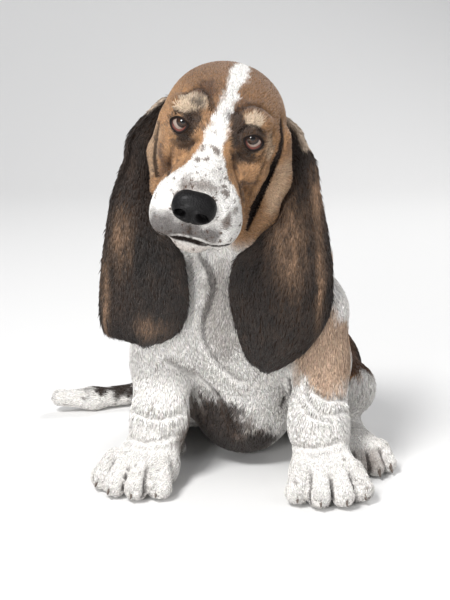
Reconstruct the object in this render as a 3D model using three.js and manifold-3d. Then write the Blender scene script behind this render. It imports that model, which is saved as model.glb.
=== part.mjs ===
// A young basset hound sitting square on, as a life-size still model. Millimetres, +Z up.
// It faces -Y, so its own left is +X, and the floor is z = 0.
// The flesh is one blended form. Each sub-part is a capsule whose rings are pushed out to that
// form from a curve inside it, and flat cuts 0.3 mm apart divide it into its parts.
import * as THREE from "three";
import { mergeVertices } from "three/addons/utils/BufferGeometryUtils.js";
import Module from "manifold-3d";

const wasm = await Module();
wasm.setup();

// Driving dimensions
const gap = 0.3;
const far = 400;

const headPose = { at: [-6, -92, 350.5], pitch: 25, yaw: 6.5, roll: 13 };
const skull = { halfWidth: 58.5, length: 114, height: 52, browOut: 30 };
const muzzle = { length: 94, halfWidth: 22, flewOut: 23, flewDrop: 78, jawDrop: 74 };
const eye = { out: 33, back: -12, up: 12, radius: 11, lid: 2.6, openUp: 62, openDown: 24, droop: 8 };
const nose = { back: -91, up: -25, radii: [20.5, 14, 15], nostrilOut: 11.5, nostrilRadius: 3.2 };
const earThickness = 6;

const chest = { halfWidth: 92, front: -86, brisket: 6 };
const foreleg = { upper: 36, elbow: 32, wrist: 27, pastern: 26 };
const forepaw = { halfWidth: 31, reach: 50, toe: 14, height: 26 };
const hindleg = { thigh: 50, knee: 32, hock: 19, foot: 18.5 };
const hindpaw = { halfWidth: 23, reach: 40, toe: 11.5, height: 22 };
const tailRadii = [20, 17, 14, 12.8, 12.2, 10.5];
const claw = { length: 14, root: 3, tip: 1.1, droop: 32 };

// Blended forms: each is a function of x, y, z that is negative inside
const radians = THREE.MathUtils.degToRad;

function egg(centre, radii, turn = [0, 0, 0]) {
  const euler = new THREE.Euler(...turn.map(radians));
  const m = new THREE.Matrix4().makeRotationFromEuler(euler).transpose().elements;
  const [a, b, c] = radii;
  return (x, y, z) => {
    const px = x - centre[0];
    const py = y - centre[1];
    const pz = z - centre[2];
    const u = (m[0] * px + m[4] * py + m[8] * pz) / a;
    const v = (m[1] * px + m[5] * py + m[9] * pz) / b;
    const w = (m[2] * px + m[6] * py + m[10] * pz) / c;
    const near = Math.hypot(u, v, w);
    const slope = Math.hypot(u / a, v / b, w / c);
    return slope < 1e-6 ? -Math.min(a, b, c) : (near * (near - 1)) / slope;
  };
}

function bone(a, ra, b, rb) {
  const along = [b[0] - a[0], b[1] - a[1], b[2] - a[2]];
  const square = along[0] ** 2 + along[1] ** 2 + along[2] ** 2;
  return (x, y, z) => {
    const px = x - a[0];
    const py = y - a[1];
    const pz = z - a[2];
    const t = (px * along[0] + py * along[1] + pz * along[2]) / square;
    const s = Math.min(1, Math.max(0, t));
    const away = Math.hypot(px - s * along[0], py - s * along[1], pz - s * along[2]);
    return away - (ra + (rb - ra) * s);
  };
}

function softMin(a, b, k) {
  const h = Math.max(k - Math.abs(a - b), 0) / k;
  return Math.min(a, b) - (h * h * k) / 4;
}

const blend = (k, ...forms) => (x, y, z) =>
  forms.reduce((d, form) => softMin(d, form(x, y, z), k), 1e6);

const carve = (k, form, ...cutters) => (x, y, z) =>
  cutters.reduce((d, cutter) => -softMin(-d, cutter(x, y, z), k), form(x, y, z));

const paired = (form) => (x, y, z) => form(Math.abs(x), y, z);

const chain = (points, radii) =>
  points.slice(1).map((p, i) => bone(points[i], radii[i], p, radii[i + 1]));

// A thin furrow along a line of points
const furrow = (radius, ...points) => {
  const lengths = chain(points, points.map(() => radius));
  return (x, y, z) => Math.min(...lengths.map((form) => form(x, y, z)));
};

function placed(matrix, form) {
  const m = matrix.clone().invert().elements;
  return (x, y, z) =>
    form(
      m[0] * x + m[4] * y + m[8] * z + m[12],
      m[1] * x + m[5] * y + m[9] * z + m[13],
      m[2] * x + m[6] * y + m[10] * z + m[14],
    );
}

const frame = (at, turn = [0, 0, 0], order = "XYZ") =>
  new THREE.Matrix4()
    .makeRotationFromEuler(new THREE.Euler(...turn.map(radians), order))
    .setPosition(...at);

// Head, in its own frame: +X its left, -Y along the muzzle, origin between the eyes
const headFrame = frame(headPose.at, [headPose.pitch, headPose.roll, -headPose.yaw], "YZX");

function headForm() {
  const s = skull;
  const m = muzzle;
  const bulk = blend(
    16,
    egg([0, 34, 0], [s.halfWidth, s.length / 2, s.height]),
    egg([0, 78, 8], [26, 22, 22]),
    egg([0, 4, 10], [43, 26, 27]),
    bone([0, -8, -12], m.halfWidth + 1, [0, -m.length + 17, -27], m.halfWidth - 1),
    paired(egg([37, 22, -32], [25, 42, 44])),
    bone([0, 20, -58], 24, [0, -54, -m.jawDrop + 3], 15),
  );
  const face = blend(
    9,
    bulk,
    paired(egg([s.browOut, -8, 30], [20, 12, 10], [0, 0, -18])),
    paired(egg([35, -14, -20], [18, 18, 16])),
    paired(egg([16, -54, -34], [23, 40, 22])),
    paired(egg([m.flewOut, -58, -m.flewDrop + 28], [21, 36, 28], [0, 0, 8])),
    egg([0, -70, -46], [30, 26, 20]),
    egg([0, -68, -m.jawDrop], [20, 19, 13]),
    ...chain([[56, 18, 0], [63, 12, -40], [57, -2, -73], [43, -28, -85]], [13, 13, 12, 10]),
    ...chain([[-48, 16, -6], [-52, 5, -38], [-45, -14, -66]], [11, 12, 10]),
  );
  const lidRadii = Array(3).fill(eye.radius + eye.lid);
  const lids = blend(5, face, paired(egg([eye.out, eye.back, eye.up], lidRadii)));
  return carve(
    6,
    lids,
    furrow(2.6, [59, 3, 2], [55, -4, -28], [51, -12, -50], [46, -32, -73]),
    furrow(2, [-61, 3, 4], [-60, -6, -22], [-54, -20, -46], [-47, -34, -64]),
  );
}

// Trunk and neck
function trunkForm() {
  return blend(
    26,
    bone([10, -18, 192], 72, [26, 48, 140], chest.halfWidth - 2),
    bone([26, 48, 136], chest.halfWidth - 4, [40, 122, 92], 78),
    egg([42, 130, 80], [94, 70, 84]),
    egg([32, 44, 206], [82, 52, 58]),
    egg([6, chest.front + 40, 165], [50, 40, 62]),
    bone([8, chest.front + 44, 148], 44, [20, -6, chest.brisket + 54], 54),
    egg([-56, -32, 166], [36, 40, 56]),
    egg([76, -36, 166], [38, 40, 56]),
    bone([2, -34, 318], 50, [8, -4, 240], 62),
    bone([6, 2, 350], 32, [16, 34, 258], 48),
    bone([-12, -84, 262], 13, [0, -62, 186], 22),
    bone([8, -84, 262], 12, [22, -62, 180], 20),
  );
}

// A paw in its own frame: toes towards -Y, ground at z = 0
const toeSides = [-1, -0.38, 0.38, 1];
const toeTip = ({ halfWidth, reach, toe }, side) =>
  [side * halfWidth, toe - reach * (Math.abs(side) > 0.5 ? 0.76 : 1), toe - 1];

function pawForm(size) {
  const toes = toeSides.map((side) => {
    const knuckle = [side * size.halfWidth * 0.72, -size.reach * 0.26, size.height * 1.06];
    return bone(knuckle, size.toe, toeTip(size, side), size.toe - 1);
  });
  const pad = egg([0, 2, size.height * 0.72], [size.halfWidth * 1.16, size.reach * 0.62, size.height]);
  return blend(6, pad, ...toes);
}

const limbs = {
  foreleg_right: {
    joints: [[-60, -42, 168], [-63, -42, 118], [-66, -68, 60], [-73, -84, 27]],
    radii: [foreleg.upper - 2, foreleg.elbow - 1, foreleg.wrist, foreleg.pastern],
    paw: frame([-82, -95, 0], [0, 0, -24]),
    pawSize: forepaw,
  },
  foreleg_left: {
    joints: [[88, -48, 168], [92, -48, 118], [93, -90, 60], [96, -108, 27]],
    radii: [foreleg.upper, foreleg.elbow + 1, foreleg.wrist + 1, foreleg.pastern],
    paw: frame([98, -116, 0], [0, 0, 6]),
    pawSize: forepaw,
  },
  hindleg_right: {
    joints: [[-62, 27, 66], [-62, 124, 27], [-62, 120, 21], [-70, 30, 19]],
    radii: [hindleg.knee, hindleg.hock, hindleg.hock, hindleg.foot],
    thigh: egg([-38, 72, 68], [hindleg.thigh, 80, 58], [0, 0, 8]),
    paw: frame([-72, 8, 0], [0, 0, -6]),
    pawSize: hindpaw,
  },
  hindleg_left: {
    joints: [[130, 20, 66], [124, 108, 27], [124, 104, 21], [136, -18, 19]],
    radii: [hindleg.knee, hindleg.hock, hindleg.hock, hindleg.foot],
    thigh: egg([104, 66, 68], [hindleg.thigh - 2, 80, 58], [0, 0, -8]),
    paw: frame([140, -44, 0], [0, 0, 10]),
    pawSize: hindpaw,
  },
};

function limbForm({ joints, radii, thigh, paw, pawSize }) {
  const parts = [...chain(joints, radii), placed(paw, pawForm(pawSize))];
  if (thigh) parts.push(thigh);
  return blend(14, ...parts);
}

const tailPoints = [
  [38, 176, 46], [26, 202, 24], [-30, 199, 15], [-98, 172, 13.5], [-156, 149, 13], [-193, 140, 17],
];

const head = placed(headFrame, headForm());
const trunk = blend(20, trunkForm(), head);
const tail = blend(12, trunk, ...chain(tailPoints, tailRadii));
const withLimb = {};
for (const [name, limb] of Object.entries(limbs)) {
  const form = limbForm(limb);
  withLimb[name] = (x, y, z) => softMin(trunk(x, y, z), form(x, y, z), 18);
}
const whole = (x, y, z) =>
  Math.min(tail(x, y, z), ...Object.values(withLimb).map((form) => form(x, y, z)));

// Blocks: turned boxes whose faces are the cuts between the parts
function block(matrix, low, high) {
  const half = high.map((v, i) => (v - low[i]) / 2);
  const middle = new THREE.Matrix4().makeTranslation(...high.map((v, i) => (v + low[i]) / 2));
  const world = matrix.clone().multiply(middle);
  const form = placed(world, (x, y, z) => {
    const q = [Math.abs(x) - half[0], Math.abs(y) - half[1], Math.abs(z) - half[2]];
    return Math.hypot(...q.map((v) => Math.max(v, 0))) + Math.min(Math.max(...q), 0);
  });
  const solid = (grow) =>
    solidOf(new THREE.BoxGeometry(...half.map((v) => 2 * (v + grow))).applyMatrix4(world));
  return { form, solid };
}

const headCut = headFrame.clone().multiply(frame([0, -66, -92], [9, 0, 0]));
const blocks = {
  head: block(headCut, [-far, -far, 0], [far, far, far]),
  upper: block(frame([6, -20, 232], [19, 0, 0]), [-far, -far, 0], [far, far, far]),
  foreleg_right: block(frame([-33, 0, 112], [0, -5, 0]), [-far, -far, -far], [0, -9, 84]),
  foreleg_left: block(frame([60, 0, 112], [0, 5, 0]), [0, -far, -far], [far, -9, 84]),
  hindleg_right: block(frame([-20, 0, 128], [0, -8, 0]), [-far, -9, -far], [0, far, 0]),
  hindleg_left: block(frame([88, 0, 128], [0, 8, 0]), [0, -9, -far], [far, far, 0]),
  forepaw_right: block(frame([-78, -90, 48], [0, 0, -24]), [-60, -90, -far], [60, 48, 0]),
  forepaw_left: block(frame([98, -112, 48], [0, 0, 6]), [-60, -90, -far], [60, 48, 0]),
  hindpaw_right: block(frame([-72, 8, 44]), [-50, -60, -far], [30, 34, 0]),
  hindpaw_left: block(frame([140, -44, 44], [0, 0, 10]), [-40, -60, -far], [50, 50, 0]),
  tail: block(frame([27, 195, 0], [0, 0, 20.6]), [-far, 0, -far], [far, far, 60]),
  floor: block(frame([0, 0, 0]), [-far, -far, -far], [far, far, 0]),
};

// Solids
function solidOf(geometry) {
  const bare = new THREE.BufferGeometry()
    .setAttribute("position", geometry.getAttribute("position"))
    .setIndex(geometry.index);
  const merged = mergeVertices(bare, 1e-3);
  return new wasm.Manifold(
    new wasm.Mesh({
      numProp: 3,
      vertProperties: new Float32Array(merged.attributes.position.array),
      triVerts: new Uint32Array(merged.index.array),
    }),
  );
}

const ball = (radius, centre, turn = headFrame) =>
  solidOf(new THREE.SphereGeometry(radius, 14, 9).translate(...centre).applyMatrix4(turn));

const largest = (solid) => solid.decompose().sort((a, b) => b.volume() - a.volume())[0];

function geometryOf(solid) {
  const mesh = solid.getMesh();
  return new THREE.BufferGeometry()
    .setAttribute("position", new THREE.BufferAttribute(mesh.vertProperties, 3))
    .setIndex(new THREE.BufferAttribute(mesh.triVerts, 1));
}

const curveThrough = (points) => new THREE.CatmullRomCurve3(points.map((p) => new THREE.Vector3(...p)));

// From origin along direction, the first place where the form ends
function edge(form, origin, direction) {
  const at = (distance) => origin.clone().addScaledVector(direction, distance);
  let inside = 0;
  let outside = 0;
  while (outside < far) {
    const d = form(...at(outside).toArray());
    if (d > 0) break;
    inside = outside;
    outside += Math.max(0.8, -d * 0.7);
  }
  for (let i = 0; i < 14; i += 1) {
    const middle = (inside + outside) / 2;
    if (form(...at(middle).toArray()) > 0) outside = middle;
    else inside = middle;
  }
  return at(inside);
}

// A capsule bent along a line inside the form, each point pushed out to the form's surface
function wrap(form, points, { around, along, ends, side = [1, 0, 0] }) {
  const curve = curveThrough(points);
  const geometry = new THREE.CapsuleGeometry(1, 2, ends, around, along);
  const position = geometry.getAttribute("position");
  const across = new THREE.Vector3(...side);
  const capsule = new THREE.Vector3();
  for (let i = 0; i < position.count; i += 1) {
    capsule.fromBufferAttribute(position, i);
    const t = THREE.MathUtils.clamp((capsule.y + 1) / 2, 0, 1);
    const forward = curve.getTangent(t);
    const sideways = across.clone().addScaledVector(forward, -across.dot(forward)).normalize();
    const third = new THREE.Vector3().crossVectors(sideways, forward);
    const beyond = capsule.y - THREE.MathUtils.clamp(capsule.y, -1, 1);
    const direction = new THREE.Vector3()
      .addScaledVector(sideways, capsule.x)
      .addScaledVector(forward, beyond)
      .addScaledVector(third, capsule.z)
      .normalize();
    position.setXYZ(i, ...edge(form, curve.getPoint(t), direction).toArray());
  }
  return solidOf(geometry);
}

// One sub-part of the flesh: the form wrapped a little past its cuts, then trimmed at them
function fleshPart({ form, inside = [], outside = [], line, mesh, past = 9, grow = 0 }) {
  const limited = (x, y, z) =>
    Math.max(
      form(x, y, z) - grow,
      ...inside.map((cut) => cut.form(x, y, z) - past),
      ...outside.map((cut) => -cut.form(x, y, z) - past),
    );
  let solid = wrap(limited, line, mesh);
  if (grow) return solid;
  for (const cut of inside) solid = solid.intersect(cut.solid(0));
  for (const cut of [...outside, blocks.floor]) {
    solid = solid.subtract(cut.solid(cut === blocks.floor ? 0 : gap));
  }
  return largest(solid);
}

const through = (matrix, ...points) =>
  points.map((p) => new THREE.Vector3(...p).applyMatrix4(matrix).toArray());
const headSide = new THREE.Vector3(1, 0, 0).transformDirection(headFrame).toArray();

const flesh = {
  head: {
    form: trunk,
    inside: [blocks.head],
    past: 14,
    line: through(
      headFrame,
      [0, 56, 2], [0, 32, -8], [0, 10, -18], [0, -8, -30], [0, -26, -42], [0, -46, -48], [0, -62, -47],
    ),
    mesh: { around: 50, along: 23, ends: 8, side: headSide },
  },
  neck: {
    form: trunk,
    inside: [blocks.upper],
    outside: [blocks.head],
    past: 20,
    line: [[4, -32, 292], [6, -20, 268], [8, -6, 244]],
    mesh: { around: 34, along: 4, ends: 5 },
  },
  torso: {
    form: whole,
    outside: [
      "upper", "foreleg_right", "foreleg_left", "hindleg_right", "hindleg_left",
      "hindpaw_right", "hindpaw_left", "tail",
    ].map((name) => blocks[name]),
    past: 22,
    line: [[10, -42, 178], [12, -16, 174], [24, 40, 144], [35, 92, 106], [41, 132, 84]],
    mesh: { around: 38, along: 14, ends: 8 },
  },
  tail: {
    form: tail,
    inside: [blocks.tail],
    line: tailPoints.slice(1),
    mesh: { around: 12, along: 12, ends: 3, side: [0, 0, 1] },
  },
};

for (const [name, limb] of Object.entries(limbs)) {
  const pawName = name.replace("leg", "paw");
  const fore = name.startsWith("fore");
  const [top, middle, low, last] = limb.joints;
  const toe = -limb.pawSize.reach * 0.42;
  flesh[name] = {
    form: withLimb[name],
    inside: [blocks[name]],
    outside: [blocks[pawName], blocks[name.replace("fore", "hind").replace("leg", "paw")]],
    past: fore ? 14 : 20,
    line: fore
      ? [top, middle, low]
      : [[top[0], 20, 74], [top[0] * 0.97, 70, 62], [middle[0], 106, 36]],
    mesh: fore ? { around: 20, along: 10, ends: 5 } : { around: 22, along: 9, ends: 6 },
  };
  flesh[pawName] = {
    form: withLimb[name],
    inside: [blocks[pawName]],
    line: [fore ? last : last.with(2, 17), ...through(limb.paw, [0, 0, 17], [0, toe, 14])],
    mesh: fore ? { around: 26, along: 6, ends: 6 } : { around: 22, along: 6, ends: 5 },
  };
}

const solids = {};
for (const [name, part] of Object.entries(flesh)) solids[name] = fleshPart(part);
const headGrown = fleshPart({ ...flesh.head, grow: gap });
const neckGrown = fleshPart({ ...flesh.neck, grow: gap });

// Mouth: a thin groove pressed into the head along the line where the lips meet
function groove(radius, from, targets) {
  const [origin, ...aims] = through(headFrame, from, ...targets).map((p) => new THREE.Vector3(...p));
  const points = aims.map((aim) => edge(trunk, origin, aim.clone().sub(origin).normalize()));
  const corners = [0, 60, 120, 180, 240, 300].map(radians);
  const round = new THREE.Shape(
    corners.map((turn) => new THREE.Vector2(radius * Math.cos(turn), radius * Math.sin(turn))),
  );
  const extrudePath = new THREE.CatmullRomCurve3(points);
  return solidOf(new THREE.ExtrudeGeometry(round, { steps: 3 * points.length, extrudePath }));
}

const lipLine = [[48, -34, -70], [42, -60, -74], [28, -80, -72], [12, -90, -66], [0, -92, -62]];
const mouthLine = [...lipLine, ...lipLine.slice(0, -1).reverse().map(([x, y, z]) => [-x, y, z])];
solids.head = solids.head
  .subtract(groove(1.7, [0, -50, -48], mouthLine))
  .subtract(groove(1.1, [0, -60, -46], [[0, -100, -40], [0, -100, -52], [0, -96, -60]]));

// Eyes in their sockets, and the lids that ring them
function eyeAt(side) {
  const centre = [side * eye.out, eye.back, eye.up];
  const outer = eye.radius + eye.lid;
  const reach = 40;
  const opening = new THREE.Shape([
    new THREE.Vector2(0, 0),
    new THREE.Vector2(reach, -reach * Math.tan(radians(eye.openDown))),
    new THREE.Vector2(reach, reach * Math.tan(radians(eye.openUp))),
  ]);
  const wedge = new THREE.ExtrudeGeometry(opening, { depth: 60, bevelEnabled: false })
    .translate(eye.radius * 0.3, 0, -30)
    .rotateY(-Math.PI / 2)
    .rotateX(Math.PI / 2);
  wedge.rotateY(radians(side * eye.droop)).rotateZ(radians(side * 14));
  const slit = solidOf(wedge.translate(...centre).applyMatrix4(headFrame));
  return { centre, slit: slit.intersect(ball(outer + 2, centre)) };
}

const eyes = { eye_left: eyeAt(1), eye_right: eyeAt(-1) };
for (const [name, { centre, slit }] of Object.entries(eyes)) {
  solids[name] = ball(eye.radius, centre);
  solids.head = solids.head.subtract(slit).subtract(ball(eye.radius + gap, centre));
}

// Ears: flat folds of skin, each drawn between two edges, the -X one first
const ears = {
  ear_right: [
    [[-55, -42, 384], [-73, -46, 369], [-94, -52, 347], [-100, -58, 322], [-110, -66, 288],
      [-115, -74, 254], [-119, -80, 225], [-122, -84, 192], [-121, -86, 168], [-115, -88, 157],
      [-101, -92, 152], [-85, -95, 149]],
    [[-48, -34, 379], [-56, -30, 360], [-63, -30, 336], [-66, -38, 307], [-64, -58, 277],
      [-53, -79, 252], [-40, -90, 231], [-36, -97, 206], [-36, -99, 186], [-42, -100, 166],
      [-56, -99, 153], [-72, -97, 148]],
  ],
  ear_left: [
    [[45, -20, 361], [48, -18, 339], [49, -22, 312], [48, -38, 284], [42, -66, 261], [26, -90, 246],
      [12, -99, 233], [6, -104, 214], [6, -106, 189], [12, -105, 161], [20, -103, 138], [31, -102, 126]],
    [[55, -34, 366], [72, -38, 352], [79, -43, 338], [90, -50, 315], [94, -58, 283], [99, -64, 249],
      [103, -72, 215], [103, -84, 185], [95, -90, 161], [79, -93, 139], [62, -96, 127], [48, -98, 121]],
  ],
};

function earSolid(edges) {
  const curves = edges.map(curveThrough);
  const geometry = new THREE.SphereGeometry(1, 18, 17);
  const position = geometry.getAttribute("position");
  const unit = new THREE.Vector3();
  for (let i = 0; i < position.count; i += 1) {
    unit.fromBufferAttribute(position, i);
    const v = Math.acos(THREE.MathUtils.clamp(unit.y, -1, 1)) / Math.PI;
    const ring = Math.hypot(unit.x, unit.z) || 1;
    const full = Math.sqrt(Math.min(1, ring * 4));
    const across = (unit.x / ring) * full;
    const face = (unit.z / ring) * full;
    const [a, b] = curves.map((curve) => curve.getPoint(v));
    const width = b.clone().sub(a);
    const down = curves[0].getTangent(v).add(curves[1].getTangent(v)).normalize();
    const normal = new THREE.Vector3().crossVectors(down, width).normalize();
    const bulge = (1 - across * across) * width.length() * 0.12;
    const thickness = (earThickness / 2) * (1.4 - 0.4 * Math.min(1, v * 4));
    const p = a.lerp(b, (across + 1) / 2).addScaledVector(normal, bulge + face * thickness);
    position.setXYZ(i, p.x, p.y, p.z);
  }
  return solidOf(geometry);
}

for (const [name, edges] of Object.entries(ears)) {
  solids[name] = largest(earSolid(edges).subtract(headGrown).subtract(neckGrown));
}

// Nose
{
  const { back, up, radii, nostrilOut, nostrilRadius } = nose;
  let solid = solidOf(
    new THREE.SphereGeometry(1, 16, 10).scale(...radii).translate(0, back, up).applyMatrix4(headFrame),
  );
  for (const side of [-1, 1]) {
    const nostril = new THREE.CapsuleGeometry(nostrilRadius, 6, 3, 10)
      .rotateZ(radians(side * 62))
      .translate(side * nostrilOut, back - radii[1] + 2, up - 1)
      .applyMatrix4(headFrame);
    solid = solid.subtract(solidOf(nostril));
  }
  solids.nose = largest(solid.subtract(headGrown));
}

// Claws: short curved cones, one at the front of each toe, clear of the paw they grow from
for (const [name, { paw, pawSize }] of Object.entries(limbs)) {
  const pawName = name.replace("leg", "paw");
  const pawGrown = fleshPart({ ...flesh[pawName], grow: gap });
  toeSides.forEach((side, i) => {
    const tip = toeTip(pawSize, side);
    const shape = new THREE.CylinderGeometry(claw.tip, claw.root, claw.length, 6, 1)
      .translate(0, claw.length / 2 - 3, 0)
      .rotateX(radians(180 + claw.droop))
      .rotateZ(radians(side * 16));
    shape.translate(tip[0], tip[1] - pawSize.toe * 0.55, tip[2] + 2);
    const solid = solidOf(shape.applyMatrix4(paw));
    solids[`${pawName}_claw_${i + 1}`] = largest(solid.subtract(pawGrown).subtract(blocks.floor.solid(0.6)));
  });
}

const coats = {
  head: 0xb9926a, neck: 0xd9cbb8, torso: 0x5a4636, tail: 0xcfc2b0, foreleg: 0xd8cdbd, forepaw: 0xe3dacb,
  hindleg: 0x8a6a4c, hindpaw: 0xddd3c4, ear: 0x3a2519, eye: 0x2b1810, nose: 0x17161a, claw: 0x2e2823,
};
const glossy = ["eye", "nose", "claw"];

const dog = new THREE.Group();
dog.name = "basset_hound";
for (const [name, solid] of Object.entries(solids)) {
  const kind = name.includes("claw") ? "claw" : name.split("_")[0];
  const material = new THREE.MeshStandardMaterial({
    color: coats[kind],
    roughness: glossy.includes(kind) ? 0.3 : 0.85,
    metalness: 0,
  });
  const mesh = new THREE.Mesh(geometryOf(solid), material);
  mesh.name = name;
  dog.add(mesh);
}

// The origin is on the floor under the middle of the dog's box
const box = new THREE.Box3().setFromObject(dog);
dog.position.set(-(box.min.x + box.max.x) / 2, -(box.min.y + box.max.y) / 2, 0);

export default dog;
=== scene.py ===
import math

import bmesh
import bpy
import numpy as np
import openvdb
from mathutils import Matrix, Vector
from mathutils.kdtree import KDTree


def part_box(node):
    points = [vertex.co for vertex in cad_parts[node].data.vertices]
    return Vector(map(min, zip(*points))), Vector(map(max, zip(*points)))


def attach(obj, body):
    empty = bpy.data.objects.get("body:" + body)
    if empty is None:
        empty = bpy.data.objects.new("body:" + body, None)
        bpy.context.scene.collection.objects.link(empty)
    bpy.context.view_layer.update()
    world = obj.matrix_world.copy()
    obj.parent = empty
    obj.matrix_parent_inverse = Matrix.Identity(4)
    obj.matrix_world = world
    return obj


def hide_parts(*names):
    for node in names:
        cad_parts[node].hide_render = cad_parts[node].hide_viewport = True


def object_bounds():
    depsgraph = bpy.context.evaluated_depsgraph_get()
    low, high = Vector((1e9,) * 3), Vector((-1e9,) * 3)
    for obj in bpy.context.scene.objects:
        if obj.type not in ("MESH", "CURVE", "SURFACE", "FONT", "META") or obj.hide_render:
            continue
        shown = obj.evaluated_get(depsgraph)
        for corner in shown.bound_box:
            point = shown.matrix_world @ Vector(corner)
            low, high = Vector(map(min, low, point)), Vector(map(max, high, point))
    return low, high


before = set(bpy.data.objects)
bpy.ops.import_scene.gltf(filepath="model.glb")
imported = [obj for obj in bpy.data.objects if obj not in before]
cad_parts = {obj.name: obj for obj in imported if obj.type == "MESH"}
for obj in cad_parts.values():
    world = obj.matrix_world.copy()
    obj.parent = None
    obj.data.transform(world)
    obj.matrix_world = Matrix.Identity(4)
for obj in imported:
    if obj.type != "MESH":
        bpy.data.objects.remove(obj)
cadBox = [list(corner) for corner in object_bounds()]
fleshNodes = [
    "head", "neck", "torso", "tail", "foreleg_right", "foreleg_left", "forepaw_right", "forepaw_left",
    "hindleg_right", "hindleg_left", "hindpaw_right", "hindpaw_left",
]


# Forms: functions of points in millimetres, one value a point, negative inside

def turned(x, y, z, order="XYZ"):  # three turns in degrees as one matrix, in the order named
    (cx, cy, cz), (sx, sy, sz) = np.cos(np.radians([x, y, z])), np.sin(np.radians([x, y, z]))
    parts = {
        "X": np.array([[1, 0, 0], [0, cx, -sx], [0, sx, cx]]),
        "Y": np.array([[cy, 0, sy], [0, 1, 0], [-sy, 0, cy]]),
        "Z": np.array([[cz, -sz, 0], [sz, cz, 0], [0, 0, 1]]),
    }
    return parts[order[0]] @ parts[order[1]] @ parts[order[2]]


def lengthOf(vectors):
    return np.sqrt(np.einsum("...i,...i->...", vectors, vectors))


def unit(vectors):
    return vectors / np.maximum(lengthOf(vectors), 1e-9)[..., None]


def egg(centre, radii, turn=(0, 0, 0)):  # n (n - 1) / slope of n, with n the point's length in radii
    rotation = turned(*turn)
    radii = np.array(radii, float)

    def form(p):
        q = (p - centre) @ rotation / radii
        near = lengthOf(q)
        slope = lengthOf(q / radii)
        return np.where(slope < 1e-6, -radii.min(), near * (near - 1) / np.maximum(slope, 1e-6))
    return form


def bone(a, radiusA, b, radiusB):  # distance to the segment a-b, less a radius that changes along it
    a, along = np.array(a, float), np.subtract(b, a).astype(float)

    def form(p):
        s = np.clip((p - a) @ along / (along @ along), 0, 1)
        return lengthOf(p - a - s[:, None] * along) - radiusA - (radiusB - radiusA) * s
    return form


def softMin(a, b, k):  # the lower of two values, rounded where they differ by less than k
    h = np.maximum(k - np.abs(a - b), 0) / k
    return np.minimum(a, b) - h * h * k / 4


def blend(k, *forms):
    def form(p):
        value = forms[0](p)
        for other in forms[1:]:
            value = softMin(value, other(p), k)
        return value
    return form


def carve(k, base, *cutters):
    def form(p):
        value = base(p)
        for cutter in cutters:
            value = -softMin(-value, cutter(p), k)
        return value
    return form


def paired(form):  # the same on both sides of the plane x = 0
    return lambda p: form(np.column_stack([np.abs(p[:, 0]), p[:, 1:]]))


def chain(points, radii):
    return [bone(a, ra, b, rb) for a, ra, b, rb in zip(points, radii, points[1:], radii[1:])]


def tube(points, radii):  # the nearest of the bones along a line of points
    bones = chain(points, radii)
    return lambda p: np.min([form(p) for form in bones], axis=0)


def furrow(radius, points):
    return tube(points, [radius] * len(points))


def into(place, points):  # place is a corner and a matrix
    return (points - place[0]) @ place[1]


def outOf(place, points):
    return np.asarray(points, float) @ place[1].T + place[0]


def placed(place, form):
    return lambda p: form(into(place, p))


def slopeOf(form, p, h=0.35):  # gradient by central differences
    steps = np.eye(3) * h
    return np.stack([form(p + s) - form(p - s) for s in steps], axis=1) / (2 * h)


def settled(form, p, rounds=3, most=1.5):  # moves points along the slope until the form is 0 there
    for _ in range(rounds):
        slope = slopeOf(form, p)
        shift = form(p)[:, None] * slope / np.maximum((slope ** 2).sum(1, keepdims=True), 0.05)
        p = p - shift * np.minimum(1, most / np.maximum(lengthOf(shift), 1e-9))[:, None]
    return p


def reach(form, origin, directions, far=140):  # how far each ray runs before it leaves the form
    inside = np.zeros(len(directions))
    distance = inside.copy()
    going = np.ones(len(directions), bool)
    while going.any():
        value = form(origin + directions[going] * distance[going, None])
        index = np.flatnonzero(going)
        still = (value < 0) & (distance[index] < far)
        inside[index[still]] = distance[index[still]]
        distance[index[still]] += np.maximum(0.8, -value[still] * 0.7)
        going[index[~still]] = False
    outside = distance
    for _ in range(12):
        middle = (inside + outside) / 2
        past = form(origin + directions * middle[:, None]) > 0
        outside = np.where(past, middle, outside)
        inside = np.where(past, inside, middle)
    return inside


def noise(p, size, seed=0):
    # Random values on a lattice, blended by smooth steps between its points. The large factors scramble a
    # cell's number into a value from -1 to 1.
    q = p / size
    cell = np.floor(q).astype(np.int64)
    f = q - cell
    f = f * f * (3 - 2 * f)
    total = np.zeros(len(p))
    for corner in np.ndindex(2, 2, 2):
        c = cell + corner
        h = c[:, 0] * 374761393 + c[:, 1] * 668265263 + c[:, 2] * 2147483647 + seed * 1274126177
        h = h & 0xFFFFFFFF
        h = ((h ^ (h >> 13)) * 1274126177) & 0xFFFFFFFF
        value = ((h ^ (h >> 16)) & 0xFFFF) / 32767.5 - 1
        total += value * np.prod(np.where(corner, f, 1 - f), axis=1)
    return total


def smooth(edge0, edge1, x):  # 0 at the first edge, 1 at the second
    t = np.clip((x - edge0) / (edge1 - edge0), 0, 1)
    return t * t * (3 - 2 * t)


def mixed(a, b, t):  # a where t is 0, b where it is 1
    a = np.asarray(a, float)
    return a + (b - a) * t


# The dog's body in millimetres, before it is set in the shared frame

headPose = {"at": (-6, -92, 350.5), "pitch": 25, "yaw": 6.5, "roll": 13}
headPlace = (
    np.array(headPose["at"], float),
    turned(headPose["pitch"], headPose["roll"], -headPose["yaw"], "YZX"),
)
skull = {"halfWidth": 58.5, "length": 114, "height": 52, "browOut": 30}
muzzle = {"length": 94, "halfWidth": 22, "flewOut": 23, "flewDrop": 78, "jawDrop": 74}
eye = {"at": (33, -12, 12), "radius": 11, "lid": 2.6, "turnOut": 14, "droop": 8}

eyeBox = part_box("eye_left")
frameShift = np.add(*eyeBox) * 500 - outOf(headPlace, eye["at"])  # the frame's origin, from the left eye


def toFrame(p):
    return (p + frameShift) / 1000


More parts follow.
